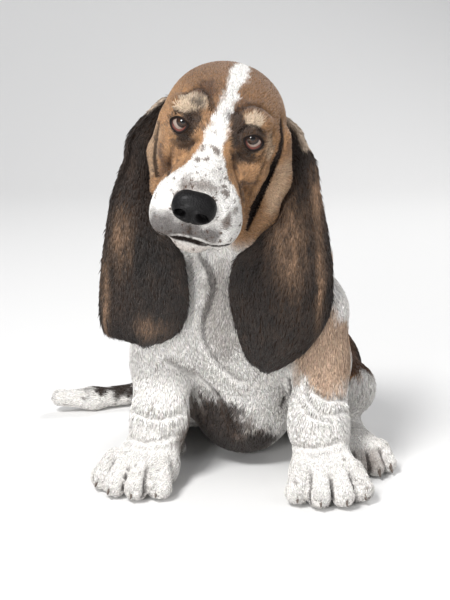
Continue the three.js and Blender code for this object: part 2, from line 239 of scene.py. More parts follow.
def fromFrame(p):
    return p * 1000 - frameShift


def headForm():
    s, m = skull, muzzle
    bulk = blend(
        16,
        egg([0, 34, 0], [s["halfWidth"], s["length"] / 2, s["height"]]),
        egg([0, 78, 8], [26, 22, 22]),  # back of the skull
        egg([0, 4, 10], [43, 26, 27]),  # forehead
        bone([0, -8, -12], m["halfWidth"] + 1, [0, -m["length"] + 17, -27], m["halfWidth"] - 1),
        paired(egg([37, 22, -32], [25, 42, 44])),  # cheeks
        bone([0, 20, -58], 24, [0, -54, -m["jawDrop"] + 3], 15),  # lower jaw
    )
    face = blend(
        9,
        bulk,
        paired(egg([s["browOut"], -8, 30], [20, 12, 10], [0, 0, -18])),
        paired(egg([35, -14, -20], [18, 18, 16])),  # under the eyes
        paired(egg([16, -54, -34], [23, 40, 22])),  # sides of the muzzle
        paired(egg([m["flewOut"], -58, -m["flewDrop"] + 28], [21, 36, 28], [0, 0, 8])),  # flews
        egg([0, -70, -46], [30, 26, 20]),  # front of the muzzle
        egg([0, -68, -m["jawDrop"]], [20, 19, 13]),  # chin
        *chain([[56, 18, 0], [63, 12, -40], [57, -2, -73], [43, -28, -85]], [13, 13, 12, 10]),  # left flap
        *chain([[-48, 16, -6], [-52, 5, -38], [-45, -14, -66]], [11, 12, 10]),  # right flap
    )
    lids = blend(5, face, paired(egg(eye["at"], [eye["radius"] + eye["lid"]] * 3)))
    return carve(
        6,
        lids,
        furrow(2.6, [[59, 3, 2], [55, -4, -28], [51, -12, -50], [46, -32, -73]]),
        furrow(2, [[-61, 3, 4], [-60, -6, -22], [-54, -20, -46], [-47, -34, -64]]),
    )


chest = {"halfWidth": 92, "front": -86, "brisket": 6}


def trunkForm():
    c = chest
    return blend(
        26,
        bone([10, -18, 192], 72, [26, 48, 140], c["halfWidth"] - 2),
        bone([26, 48, 136], c["halfWidth"] - 4, [40, 122, 92], 78),
        egg([42, 130, 80], [94, 70, 84]),  # rump
        egg([32, 44, 206], [82, 52, 58]),  # back
        egg([6, c["front"] + 40, 165], [50, 40, 62]),
        bone([8, c["front"] + 44, 148], 44, [20, -6, c["brisket"] + 54], 54),
        egg([-56, -32, 166], [36, 40, 56]),  # right shoulder
        egg([76, -36, 166], [38, 40, 56]),  # left shoulder
        bone([2, -34, 318], 50, [8, -4, 240], 62),  # neck
        bone([6, 2, 350], 32, [16, 34, 258], 48),  # nape
        bone([-12, -84, 262], 13, [0, -62, 186], 22),  # the throat's two loose folds
        bone([8, -84, 262], 12, [22, -62, 180], 20),
    )


forepaw = {"halfWidth": 31, "reach": 50, "toe": 14, "height": 26}
hindpaw = {"halfWidth": 23, "reach": 40, "toe": 11.5, "height": 22}
toeSides = [-1, -0.38, 0.38, 1]


def toeTip(paw, side):
    reachOut = paw["reach"] * (0.76 if abs(side) > 0.5 else 1)
    return [side * paw["halfWidth"], paw["toe"] - reachOut, paw["toe"] - 1]


def pawForm(paw):  # toes towards -Y, ground at z = 0
    toes = [
        bone([side * paw["halfWidth"] * 0.72, -paw["reach"] * 0.26, paw["height"] * 1.06], paw["toe"],
             toeTip(paw, side), paw["toe"] - 1)
        for side in toeSides
    ]
    pad = egg([0, 2, paw["height"] * 0.72], [paw["halfWidth"] * 1.16, paw["reach"] * 0.62, paw["height"]])
    return blend(5, pad, blend(2.5, *toes))


limbs = {
    "foreleg_right": {
        "joints": [[-60, -42, 168], [-63, -42, 118], [-66, -68, 60], [-73, -84, 27]],
        "radii": [34, 31, 27, 26], "paw": forepaw, "place": ([-82, -95, 0], turned(0, 0, -24)),
    },
    "foreleg_left": {
        "joints": [[88, -48, 168], [92, -48, 118], [93, -90, 60], [96, -108, 27]],
        "radii": [36, 33, 28, 26], "paw": forepaw, "place": ([98, -116, 0], turned(0, 0, 6)),
    },
    "hindleg_right": {
        "joints": [[-62, 27, 66], [-62, 124, 27], [-62, 120, 21], [-70, 30, 19]],
        "radii": [32, 19, 19, 18.5], "thigh": egg([-38, 72, 68], [50, 80, 58], [0, 0, 8]),
        "paw": hindpaw, "place": ([-72, 8, 0], turned(0, 0, -6)),
    },
    "hindleg_left": {
        "joints": [[130, 20, 66], [124, 108, 27], [124, 104, 21], [136, -18, 19]],
        "radii": [32, 19, 19, 18.5], "thigh": egg([104, 66, 68], [48, 80, 58], [0, 0, -8]),
        "paw": hindpaw, "place": ([140, -44, 0], turned(0, 0, 10)),
    },
}
tailPoints = [
    [38, 176, 46], [26, 202, 24], [-30, 199, 15], [-98, 172, 13.5], [-156, 149, 13], [-193, 140, 17],
]
tailRadii = [20, 17, 14, 12.8, 12.2, 10.5]

joins = {"head": 20, "tail": 12, "limb": 18, "inLimb": 14}  # how widely the forms are rounded together

headAlone = placed(headPlace, headForm())
trunkAlone = trunkForm()
headAndTrunk = blend(joins["head"], trunkAlone, headAlone)
tailAlone = blend(joins["tail"], *chain(tailPoints, tailRadii))
limbAlone = {
    name: blend(joins["inLimb"], *chain(limb["joints"], limb["radii"]),
                placed(limb["place"], pawForm(limb["paw"])), *([limb["thigh"]] if "thigh" in limb else []))
    for name, limb in limbs.items()
}


def wholeForm(p):
    trunk = headAndTrunk(p)
    value = softMin(trunk, tailAlone(p), joins["tail"])
    for limb in limbAlone.values():
        value = np.minimum(value, softMin(trunk, limb(p), joins["limb"]))
    return value


# Lines of sight: the camera in the same millimetres, and where its rays meet the body. Rays start at one
# distance, and those for a line that lies above the row where the head ends go no further than its far side.

view = {
    "at": (0, -1300, 478), "pitch": 13.4, "focal": 1283, "middle": (225, 300), "height": 600, "sensor": 36,
    "start": 950, "headEnds": 250, "headFar": 1275,
}
cameraAt = np.array(view["at"], float)
skinDepth = 1.1  # how far the skin lies inside the solids, which reach to the outside of the coat


def skinBase(p):
    return wholeForm(p) + skinDepth


def onSkin(pixels, rounds=60):  # the points of skin that show at these pixels, or lie nearest to their rays
    far = view["headFar"] if np.max(pixels, axis=0)[1] < view["headEnds"] else np.inf
    tilt = math.radians(view["pitch"])
    x, y = (np.asarray(pixels, float) - view["middle"]).T
    ahead = np.array([0, math.cos(tilt), -math.sin(tilt)])
    up = np.array([0, math.sin(tilt), math.cos(tilt)])
    ways = unit(ahead * view["focal"] + x[:, None] * [1, 0, 0] - y[:, None] * up)
    run = np.full(len(ways), float(view["start"]))
    best, least = run, np.full(len(ways), np.inf)
    for _ in range(rounds):
        value = skinBase(cameraAt + ways * run[:, None])
        closer = (value < least) & (run < far)
        best, least = np.where(closer, run, best), np.where(closer, value, least)
        run = run + np.maximum(value, 0) * 0.8
    return cameraAt + ways * best[:, None]


def alongSpline(points, t):  # uniform Catmull-Rom curve through the points, with t from 0 to 1
    padded = np.vstack([2 * points[0] - points[1], points, 2 * points[-1] - points[-2]])
    s = np.clip(t, 0, 1) * (len(points) - 1)
    i = np.minimum(s.astype(int), len(points) - 2)
    f = (s - i)[..., None]
    a, b, c, d = (padded[i + k] for k in range(4))
    return 0.5 * (2 * b + (c - a) * f + (2 * a - 5 * b + 4 * c - d) * f ** 2
                  + (3 * b - a - 3 * c + d) * f ** 3)


# Folds: lines in pixels of the picture, pressed into the skin as tubes. Each has its radius and how deep its
# middle lies, both from the line's start to its end, how softly its edges turn and how dark its painted shade
# is.

folds = {
    "mouth": (
        [(158, 232), (168, 236), (180, 238), (190, 240), (199, 243), (208, 245), (220, 246), (230, 244)],
        (1.0, 1.6, 1.4, 0.8), (0.3, 0.8, 0.6, 0.2), 1.2, 1.0,
    ),
    "philtrum": ([(190, 221), (190, 229), (191, 238)], (1.1, 0.9), (0.3, 0.2), 1.2, 0.5),
    "cheek": ([(281, 120), (281, 146), (272, 169), (262, 192), (253, 211), (247, 229)],
              (1.0, 1.7, 3.2, 3.6, 1.2), (0.1, 0.7, 2.0, 2.2, 0.3), 2.5, 1.0),
    # painted shadow between the cheek flap and the ear, as a wide shallow tube
    "cheekEarShadow": ([(291, 126), (297, 152), (297, 180), (290, 205), (274, 229), (258, 244)],
                  (4.5, 6.0), (0, 0), 3, 0.75),
    "temple": ([(273, 132), (270, 150), (261, 172), (249, 196)], (1.4, 1.4), (0.4, 0.4), 3, 0.35),
    "muzzleSide": ([(233, 152), (237, 172), (241, 192), (243, 212)], (1.5, 1.5), (0.3, 0.3), 4, 0.4),
    "browOfRight": ([(184, 95), (198, 87), (209, 95), (212, 108)], (1.4, 2.2), (0.3, 0.6), 3, 0.7),
    "browOfLeft": ([(237, 113), (248, 106), (260, 107), (270, 116)], (2.0, 1.4), (0.5, 0.2), 3, 0.6),
    "lidOfRight": ([(169, 118), (177, 112), (187, 114), (193, 121)], (1.3, 1.3), (0.3, 0.3), 1.5, 0.6),
    "lidOfLeft": ([(240, 133), (246, 127), (256, 127), (264, 135)], (1.3, 1.3), (0.3, 0.3), 1.5, 0.6),
    "underRight": ([(171, 139), (178, 146), (188, 147), (197, 140)], (1.3, 1.5), (0.2, 0.4), 3, 0.5),
    "underLeft": ([(237, 151), (245, 160), (257, 161), (266, 151)], (1.5, 1.3), (0.4, 0.2), 3, 0.5),
    "cheekOfRight": ([(159, 124), (156, 142), (155, 160), (157, 175)], (1.4, 2.2), (0.3, 1.0), 2.5, 0.85),
    "jowlOfRight": ([(173, 148), (170, 162), (168, 175)], (1.3, 1.3), (0.2, 0.2), 3, 0.4),
    "dewlap": (
        [(198, 255), (208, 270), (212, 287), (208, 303), (203, 317), (202, 333), (208, 350), (221, 367),
         (240, 381)],
        (4.4, 1.8), (2.4, 0.0), 6, 0.62,
    ),
    "breast": ([(168, 360), (191, 373), (211, 387), (225, 407), (235, 433)], (2.4, 2.8), (0.5, 0.8), 5, 0.5),
    "armpit": ([(288, 378), (290, 390), (282, 404)], (2.4, 2.4), (0.6, 0.6), 3, 0.8),
    "elbow": ([(307, 384), (309, 399), (324, 413), (345, 409)], (2.0, 2.0), (0.4, 0.4), 4, 0.3),
    "elbowUp": ([(315, 391), (326, 398), (345, 398)], (1.8, 1.8), (0.4, 0.4), 4, 0.3),
    "elbowLow": ([(300, 401), (311, 415), (332, 420)], (1.8, 1.8), (0.4, 0.4), 4, 0.25),
    "wrist": ([(283, 441), (300, 447), (322, 447), (338, 441)], (1.8, 1.8), (0.2, 0.2), 4, 0.2),
    "wristOfRight": ([(133, 410), (150, 417), (168, 416), (182, 410)], (1.8, 1.8), (0.2, 0.2), 4, 0.2),
    "pasternOfRight": ([(128, 436), (142, 441), (160, 440), (174, 434)], (1.8, 1.8), (0.2, 0.2), 4, 0.2),
}
# the gaps between toes: cuts whose dark is the painted shade inside them
toeGap = {"radius": (0.8, 2.4), "sunk": (0.0, 1.2), "soft": 2, "dark": 0.75, "sides": (-0.69, 0, 0.69)}
cutReach = 16  # how far beyond its line a fold is looked for


def cutAlong(line, radius, sunk, soft, dark):  # radius and sunk are read off at even steps along the line
    s = np.linspace(0, 1, len(line))
    line = line - unit(slopeOf(skinBase, line)) * np.interp(s, np.linspace(0, 1, len(sunk)), sunk)[:, None]
    return {
        "form": tube(line, np.interp(s, np.linspace(0, 1, len(radius)), radius)), "soft": soft, "dark": dark,
        "line": line, "low": line.min(0) - cutReach, "high": line.max(0) + cutReach,
    }


def foldCuts():
    cuts = []
    for pixels, *shape in folds.values():
        line = onSkin(alongSpline(np.array(pixels, float), np.linspace(0, 1, 2 * len(pixels) + 1)))
        cuts.append(cutAlong(line, *shape))
    return cuts


def toeCuts():  # between neighbouring toes, from the knuckles down to the ground, with painted shade in them
    cuts = []
    for limb in limbs.values():
        paw = limb["paw"]
        wide, height, toe = paw["halfWidth"], paw["height"], paw["toe"]
        for side in toeGap["sides"]:
            tip = toe - paw["reach"] * (1 - 0.2 * abs(side))
            line = [
                [0.86 * side * wide, tip * 0.7 - 0.1 * paw["reach"], height * 0.8 + toe * 0.7],
                [0.97 * side * wide, tip - toe * 0.6, toe * 1.3], [side * wide, tip - toe * 0.7, toe * 0.5],
            ]
            line = alongSpline(outOf(limb["place"], line), np.linspace(0, 1, 9))
            line = settled(skinBase, line, rounds=6, most=4)
            cuts.append(cutAlong(line, toeGap["radius"], toeGap["sunk"], toeGap["soft"], toeGap["dark"]))
    return cuts


def within(p, cut):
    return np.flatnonzero(((p > cut["low"]) & (p < cut["high"])).all(1))


def inFolds(p):  # how dark the painted shade of the folds makes each point, and how near it is to one
    shade, nearness = np.zeros(len(p)), np.zeros(len(p))
    for cut in cuts:
        own = within(p, cut)
        value = cut["form"](p[own])
        shade[own] = np.maximum(shade[own], cut["dark"] * smooth(1.9, 0.1, value))
        nearness[own] = np.maximum(nearness[own], cut["dark"] ** 2 * smooth(10, 0, value))
    return shade, nearness


# An eye's own place: looking along -Y of it, with the outer corner a little lower. The opening of its lids is
# an oval in degrees of sight. The socket goes some degrees beyond it and some millimetres past the ball.

aperture = {
    "across": 40, "up": 24, "down": 38, "power": 1.9, "lookUp": 12,
    "socket": 10, "deep": 9, "soft": 1, "around": 40,
}


def eyePlace(side):
    centre = outOf(headPlace, [[side * eye["at"][0], *eye["at"][1:]]])[0]
    turns = -aperture["lookUp"], side * eye["droop"], side * eye["turnOut"]
    return centre, headPlace[1] @ turned(*turns, "ZYX")


def beyond(q):  # degrees from the line of sight, less the opening's own on that side
    ahead = np.maximum(-q[:, 1], 1e-3)
    across = np.degrees(np.arctan2(q[:, 0], ahead))
    rise = np.degrees(np.arctan2(q[:, 2], ahead))
    lid = np.where(rise > 0, aperture["up"], aperture["down"])
    n = aperture["power"]
    ratio = (np.abs(across / aperture["across"]) ** n + np.abs(rise / lid) ** n) ** (1 / n)
    return np.where(q[:, 1] > 0, 120, np.hypot(across, rise) * (1 - 1 / np.maximum(ratio, 1e-3)))


def socketForm(side):
    place = eyePlace(side)
    millimetres = 0.2  # what a degree is on the ball

    def form(p):
        q = into(place, p)
        past = (beyond(q) - aperture["socket"]) * millimetres
        return np.maximum(past, lengthOf(q) - eye["radius"] - aperture["deep"])
    return form


cuts = foldCuts() + toeCuts()
sockets = [(eyePlace(side)[0], socketForm(side)) for side in (-1, 1)]


def skinForm(p):  # the body less the coat's depth, with its folds and sockets pressed in, and above the floor
    value = skinBase(p)
    for cut in cuts:
        own = within(p, cut)
        if len(own):
            value[own] = -softMin(-value[own], cut["form"](p[own]), cut["soft"])
    for centre, socket in sockets:
        own = np.flatnonzero(lengthOf(p - centre) < aperture["around"])
        if len(own):
            value[own] = -softMin(-value[own], socket(p[own]), aperture["soft"])
    return np.maximum(value, skinDepth * 0.3 - p[:, 2])


# Skin

skinMesh = {"step": 3.05, "block": 4, "faceReach": 78, "eyeReach": 22, "foldReach": 7}


def sampled(form, low, counts, step, block):
    # The form's value on a lattice: in every block's middle first, then all over the blocks near the surface
    blocks = np.stack(np.meshgrid(*[np.arange(n) for n in counts], indexing="ij"), axis=-1).reshape(-1, 3)
    middle = low + (blocks * block + (block - 1) / 2) * step
    coarse = form(middle)
    close = np.abs(coarse) < block * step * 1.7
    fine = np.stack(np.meshgrid(*[np.arange(block)] * 3, indexing="ij"), axis=-1).reshape(-1, 3)
    inner = (low + (blocks[close][:, None] * block + fine) * step).reshape(-1, 3)
    values = np.repeat(np.sign(coarse) * block * step, block ** 3).reshape(-1, block ** 3)
    values[close] = np.concatenate([form(part) for part in np.array_split(inner, 12)]).reshape(-1, block ** 3)
    shape = (*counts, block, block, block)
    return values.reshape(shape).transpose(0, 3, 1, 4, 2, 5).reshape([n * block for n in counts])


def skinSurface():
    # A level set of the skin's form as quads, halved near the face, again near the eyes and along the darkest
    # folds, and then moved on to the form
    step, block = skinMesh["step"], skinMesh["block"]
    low = fromFrame(np.array(cadBox[0])) - 3 * step
    high = fromFrame(np.array(cadBox[1])) + 3 * step
    counts = np.ceil((high - low) / (step * block)).astype(int)
    grid = openvdb.FloatGrid(block * step)
    grid.copyFromArray(sampled(skinForm, low, counts, step, block).astype(np.float32))
    points, quads = grid.convertToQuads(0.0)
    mesh = bpy.data.meshes.new("skin")
    mesh.from_pydata((low + points * step).tolist(), [], quads.tolist())
    work = bmesh.new()
    work.from_mesh(mesh)
    keepLargest(work)
    faceCentre = Vector(outOf(headPlace, [[0, -50, -30]])[0])
    eyes = [Vector(eyePlace(side)[0]) for side in (-1, 1)]
    deep = [Vector(point) for cut in cuts if cut["dark"] > 0.8 for point in cut["line"]]
    for key, centres in (("faceReach", [faceCentre]), ("eyeReach", eyes), ("foldReach", deep)):
        tree = KDTree(len(centres))
        for i, centre in enumerate(centres):
            tree.insert(centre, i)
        tree.balance()
        edges = [e for e in work.edges if tree.find((e.verts[0].co + e.verts[1].co) / 2)[2] < skinMesh[key]]
        bmesh.ops.subdivide_edges(work, edges=edges, cuts=1, use_grid_fill=True)
    bmesh.ops.triangulate(work, faces=[f for f in work.faces if len(f.verts) > 4])
    work.to_mesh(mesh)
    work.free()
    movePoints(mesh, settled(skinForm, vectorsOf(mesh)))
    return mesh


def keepLargest(work):  # of the separate parts only the one with most vertices stays
    left, best = set(work.verts), []
    while left:
        found = [left.pop()]
        for vert in found:
            for edge in vert.link_edges:
                other = edge.other_vert(vert)
                if other in left:
                    left.remove(other)
                    found.append(other)
        if len(found) > len(best):
            best, spare = found, best
        else:
            spare = found
        bmesh.ops.delete(work, geom=spare, context="VERTS")


def vectorsOf(mesh, kind="co"):  # the points, or with "normal" the normals, one row a vertex
    flat = np.empty(len(mesh.vertices) * 3, np.float32)
    mesh.vertices.foreach_get(kind, flat)
    return flat.reshape(-1, 3).astype(float)


def movePoints(mesh, points):
    mesh.vertices.foreach_set("co", points.astype(np.float32).ravel())
    mesh.update()


# Colours of the coat, for points in millimetres

coat = {
    "white": (0.86, 0.835, 0.80), "cream": (0.66, 0.53, 0.39), "tan": (0.40, 0.225, 0.11),
    # brown, dark and the tick colour also serve as painted shade: brown round the folds, dark under the
    # belly, tick on the belly, the throat and above the nose
    "brown": (0.115, 0.058, 0.032), "dark": (0.030, 0.020, 0.015), "ticksAndShade": (0.10, 0.062, 0.042),
    # lip is painted shade on the flews, and crease the painted shade inside the folds
    "lip": (0.045, 0.030, 0.028), "creaseShade": (0.020, 0.013, 0.010),
}
blaze = {  # half width of the white, and how far left its middle lies, by the distance ahead of the eyes
    "ahead": [-62, -50, -30, -8, 12, 28, 42, 55, 66, 78],
    "width": [0, 7, 9.5, 7, 6.5, 9, 14, 24, 42, 70],
    "middle": ([-30, 10, 30], [6, 4, 0]),
}


def patch(p, form, soft, ragged, seed):  # 1 inside the form, with an edge that noise makes ragged
    return smooth(soft, -soft, form(p) + ragged * noise(p, 9, seed) + ragged * 0.5 * noise(p, 3.5, seed + 1))


def layer(colours, weight, name):
    return mixed(colours, coat[name], weight[:, None])


saddle = blend(30, egg([30, 120, 235], [84, 92, 120], [-28, 0, 0]), egg([40, 176, 120], [74, 52, 78]))
bodyPatches = [  # form, softness, raggedness, colour
    (egg([8, 44, 322], [92, 84, 104]), 6, 8, "tan"),
    (egg([112, 10, 150], [52, 62, 70]), 4, 6, "tan"),
    (egg([118, 76, 112], [60, 92, 46]), 5, 6, "brown"),
    (egg([-66, 84, 120], [46, 84, 46]), 5, 6, "tan"),
    (saddle, 6, 9, "dark"),
    (egg([20, 196, 34], [60, 46, 44]), 6, 8, "dark"),
    (blend(8, *chain(tailPoints[1:5] + np.array([0, 0, 6]), [23, 19, 18, 9])), 4, 7, "dark"),
]
seenPatches = {  # middle and half sizes in pixels of the picture, turn, colour, most, softness, raggedness
    "browSpotRight": ((193, 104), (14, 11), 0, "cream", 0.85, 2.5, 3),
    "inBrowSpotRight": ((196, 105), (7, 6), 20, "dark", 0.8, 2, 3),
    "overLidRight": ((180, 111), (9, 3.5), 0, "cream", 0.5, 2, 2),
    "innerCornerRight": ((196, 122), (9, 9), 30, "dark", 0.92, 3, 4),
    "aroundEyeRight": ((180, 130), (13, 14), 0, "dark", 0.95, 3, 4),
    "underEyeRight": ((187, 144), (10, 7), 0, "dark", 0.85, 3, 4),
    "cheekRight": ((168, 168), (9, 24), 0, "brown", 0.75, 6, 6),
    "innerCornerLeft": ((236, 126), (7, 20), 0, "dark", 0.95, 3, 4),
    "aroundEyeLeft": ((249, 143), (14, 15), 0, "dark", 0.93, 3, 4),
    "browSpotLeft": ((253, 121), (8, 5.5), 0, "cream", 0.85, 2, 3),
    "overBrowLeft": ((254, 108), (15, 4), 0, "brown", 0.7, 3, 3),
    "underEyeLeft": ((243, 159), (12, 7), 0, "dark", 0.9, 3, 4),
    "outerCornerLeft": ((268, 148), (5, 14), 0, "cream", 0.5, 3, 3),
    "muzzleSideLeft": ((244, 186), (10, 20), 15, "brown", 0.4, 6, 6),
    "crownRight": ((206, 90), (10, 9), 0, "brown", 0.8, 4, 5),
    # painted shade: a grey gradient above the nose
    "aboveNoseShade": ((196, 186), (20, 8), -5, "ticksAndShade", 0.7, 9, 7),
    # painted shade on the flews, on this line and the next
    "flewShadeRight": ((168, 226), (22, 13), 0, "lip", 0.8, 6, 6),
    "flewShadeMiddle": ((206, 233), (18, 11), 0, "lip", 0.8, 6, 6),
    "flewSpotLeft": ((227, 221), (4, 6), 0, "ticksAndShade", 0.8, 2, 3),
    "shoulderLeft": ((330, 350), (36, 42), 0, "tan", 0.8, 8, 9),
    # painted shade on the belly, and on the next line on the throat beside the dewlap
    "bellyShade": ((222, 438), (60, 36), 25, "ticksAndShade", 0.9, 12, 12),
    "throatShade": ((222, 308), (16, 50), 0, "ticksAndShade", 0.5, 10, 6),
    "cheekFlapLeft": ((277, 188), (8, 30), 20, "cream", 0.4, 5, 4),
    "cheekFlapRight": ((154, 150), (5, 26), 5, "cream", 0.4, 3, 3),
    # painted shadow under the chest, between the belly and the legs, on this line and the next two
    "bellyShadeRight": ((216, 426), (26, 40), 20, "dark", 0.9, 9, 14),
    "bellyShadeLeft": ((264, 438), (20, 14), 0, "dark", 0.95, 6, 9),
    "bellyShadeMiddle": ((232, 443), (34, 13), 0, "dark", 0.9, 6, 10),
    "flankLeft": ((364, 352), (16, 30), 0, "dark", 0.85, 4, 5),
    "hindPawLeft": ((368, 462), (17, 12), 0, "brown", 0.5, 6, 7),
}


def seenPatch(middle, half, turn, name, most, soft, ragged):
    centre = onSkin([middle])[0]
    form = egg(centre, [half[0], max(*half, 9), half[1]], [0, turn, 0])
    return form, soft, ragged, name, most


patchForms = [seenPatch(*values) for values in seenPatches.values()]
bridge = onSkin([(207, 138)])[0]  # a point on the bridge of the nose


def headColours(p, q, inHead, colours):  # tan with a browner crown, and a white blaze along its middle
    ahead = -q[:, 1]
    crown = inHead * smooth(8, 46, q[:, 2] + 6 * noise(p, 14, 31)) * 0.55
    colours = layer(layer(colours, inHead, "tan"), crown, "brown")
    halfWidth = np.interp(ahead, blaze["ahead"], blaze["width"])
    middle = np.interp(ahead, *blaze["middle"])
    edge = np.abs(q[:, 0] - middle) - halfWidth + 3 * noise(p, 6, 41) + 1.6 * noise(p, 2.5, 42)
    onTop = np.where((ahead > 40) | (q[:, 2] > -8), 1.0, 0.0)
    return layer(colours, inHead * smooth(2.5, -2.5, edge) * onTop, "white")


def ticked(p, q, inHead, colours):  # small dark spots on the muzzle, its bridge and its back, and on the legs
    ahead = -q[:, 1]
    ticks = noise(p, 4.2, 71) + 0.6 * noise(p, 2.2, 72)
    spots = noise(p, 8.5, 75) + 0.4 * noise(p, 3, 76)
    onMuzzle = inHead * smooth(34, 52, ahead)
    aboveNose = smooth(26, 8, lengthOf(q - [0, -82, -6]))
    below = smooth(-34, -46, q[:, 2]) * smooth(40, 60, ahead) * 0.5
    onBridge = smooth(26, 8, lengthOf(p - bridge))
    onBack = inHead * smooth(-30, 30, ahead) * smooth(-38, -24, q[:, 2])
    onLegs = (1 - inHead) * (smooth(150, 120, p[:, 2]) * 0.6)
    for weight in (
        onMuzzle * smooth(0.72, 0.95, ticks + 0.34 * aboveNose + 0.3 * below),
        0.7 * onBridge * smooth(0.35, 0.7, ticks),
        0.8 * onBack * smooth(0.5, 0.7, spots),
        onLegs * smooth(0.82, 1.05, ticks),
    ):
        colours = layer(colours, weight, "ticksAndShade")
    return colours


def markings(p):  # white, under the body's patches, the head's colours, the seen patches (some of them painted shade), ticks, and painted shade in and round the folds
    q = into(headPlace, p)
    colours = np.tile(np.array(coat["white"]), (len(p), 1))
    for i, (form, soft, ragged, name) in enumerate(bodyPatches):
        colours = layer(colours, patch(p, form, soft, ragged, 10 + i), name)
    inHead = smooth(16, 4, headAlone(p) + 4 * noise(p, 12, 3)) * smooth(-108, -88, q[:, 2] + 0.25 * q[:, 1])
    colours = headColours(p, q, inHead, colours)
    for i, (form, soft, ragged, name, most) in enumerate(patchForms):
        colours = layer(colours, most * patch(p, form, soft, ragged, 50 + i), name)
    colours = ticked(p, q, inHead, colours)
    # Painted shade: brown spread round the folds, less on white coat, then the crease colour inside them
    shade, nearness = inFolds(p)
    pale = smooth(0.3, 0.5, colours[:, 2])
    colours = layer(colours, 0.4 * nearness * (1 - 0.5 * pale), "brown")
    return layer(colours, shade, "creaseShade")


# The lie of the coat: for points on the skin, the way its hairs point

bodyLie = {
    "trunk": (0.05, 0.42, -0.9), "foreleg": (0.0, -0.2, -1.0), "hindleg": (0.0, -0.75, -0.66),
    "tail": (-0.96, -0.27, 0.0),
}


def regionValues(p):
    names = ["head", "trunk", "tail", *limbs]
    forms = [headAlone, trunkAlone, tailAlone, *limbAlone.values()]
    return names, np.stack([form(p) for form in forms], axis=1)


def lieOf(p, normals):
    names, values = regionValues(p)
    weights = np.exp(-np.maximum(values - values.min(1, keepdims=True), 0) / 7)
    q = into(headPlace, p)
    rise = np.where(q[:, 2] > -12, 0.35, -0.75) * smooth(10, 40, np.abs(q[:, 2] + 12))
    local = np.column_stack([0.006 * q[:, 0], np.ones(len(p)), rise])
    ways = [local @ headPlace[1].T, *(np.tile(bodyLie[part], (len(p), 1)) for part in ("trunk", "tail"))]
    for name, limb in limbs.items():
        way = np.tile(bodyLie[name.split("_")[0]], (len(p), 1))
        toToe = np.array([0, -1, -0.25]) @ limb["place"][1].T
        low = smooth(62, 34, p[:, 2])[:, None]
        ways.append(unit(way * (1 - low) + toToe * low))
    way = sum(unit(w) * weights[:, i:i + 1] for i, w in enumerate(ways))
    swirl = np.column_stack([noise(p, 34, 81 + k) for k in range(3)]) * 0.3
    way = way / weights.sum(1, keepdims=True) + swirl
    way = way - normals * (way * normals).sum(1, keepdims=True)
    return unit(way), names, values


# Tufts: thin three-sided blades, six faces each, that lie along the skin

tuftShape = {
    "height": 0.3, "widest": 0.42, "droop": 0.55, "sunk": 0.4, "floor": 0.15, "mapSize": 0.003,
    "faces": [[0, 1, 3], [0, 3, 2], [0, 2, 1], [4, 3, 1], [4, 2, 3], [4, 1, 2]],
    # colour factors for a blade's root, two edges, ridge and tip: painted shade low among the hairs, painted
    # light on the ridges and tips
    "paintedShading": [0.8, 0.94, 0.94, 1.0, 1.08], "mapPoints": [[0.5, 0], [0, 0.4], [1, 0.4], [0.5, 0.5], [0.5, 1]],
}


def tuftMesh(name, roots, normals, ways, lengths, widths, lifts, colours, unwrap, random):
    # A blade is a root, a ring of two edges and a ridge, and a tip. The blade's line is
    # root + length (way s + normal tan(lift) (s - droop s squared)).
    shape = tuftShape
    count = len(roots)
    across = unit(np.cross(ways, normals)) + normals * random.normal(0, 0.2, (count, 1))
    lean = np.tan(lifts)[:, None]

    def line(s):
        return roots + lengths[:, None] * (ways * s + normals * lean * (s - shape["droop"] * s * s))
    middle = line(shape["widest"])
    half = widths[:, None] / 2
    points = np.stack([
        line(0) - normals * shape["sunk"], middle - across * half, middle + across * half,
        middle + normals * widths[:, None] * shape["height"], line(1.0),
    ], axis=1)
    points[..., 2] = np.maximum(points[..., 2], shape["floor"])
    index = (np.arange(count)[:, None, None] * 5 + shape["faces"]).reshape(-1, 3)
    mesh = meshOf(name, toFrame(points.reshape(-1, 3)), index)
    # Painted shade at each blade's root and painted light on its ridge and tip, as factors on its colour
    paintedShading = np.array(shape["paintedShading"])
    paint(mesh, np.clip(colours[:, None, :] * paintedShading[None, :, None], 0, 1).reshape(-1, 3))
    spread = np.array(shape["mapPoints"]) * shape["mapSize"]
    uv = np.clip(unwrap[:, None, :] + spread[None] - shape["mapSize"] / 2, 0, 1).reshape(-1, 2)
    bakeMap = mesh.uv_layers.new(name="OFBake")
    bakeMap.data.foreach_set("uv", uv[index.ravel()].astype(np.float32).ravel())
    return mesh


def meshOf(name, points, faces):  # faces with the same number of sides, all smooth
    mesh = bpy.data.meshes.new(name)
    mesh.vertices.add(len(points))
    mesh.vertices.foreach_set("co", points.astype(np.float32).ravel())
    faces = np.asarray(faces, np.int32)
    sides = faces.shape[1]
    mesh.loops.add(faces.size)
    mesh.loops.foreach_set("vertex_index", faces.ravel())
    mesh.polygons.add(len(faces))
    mesh.polygons.foreach_set("loop_start", np.arange(0, faces.size, sides, dtype=np.int32))
    mesh.polygons.foreach_set("use_smooth", np.ones(len(faces), bool))
    mesh.update(calc_edges=True)
    return mesh


def paint(mesh, colours):  # one colour for all, or one for each vertex
    count = len(mesh.vertices)
    values = np.column_stack([np.broadcast_to(colours, (count, 3)), np.ones(count)])
    attribute = mesh.color_attributes.new("Coat", "FLOAT_COLOR", "POINT")
    attribute.data.foreach_set("color", values.astype(np.float32).ravel())


def roundGrid(rows, columns, most=1.0):  # a parameter from 0 to most by rows, a full turn by columns
    around = np.linspace(0, 2 * np.pi, columns, endpoint=False)
    return np.meshgrid(np.linspace(0, most, rows), around, indexing="ij")


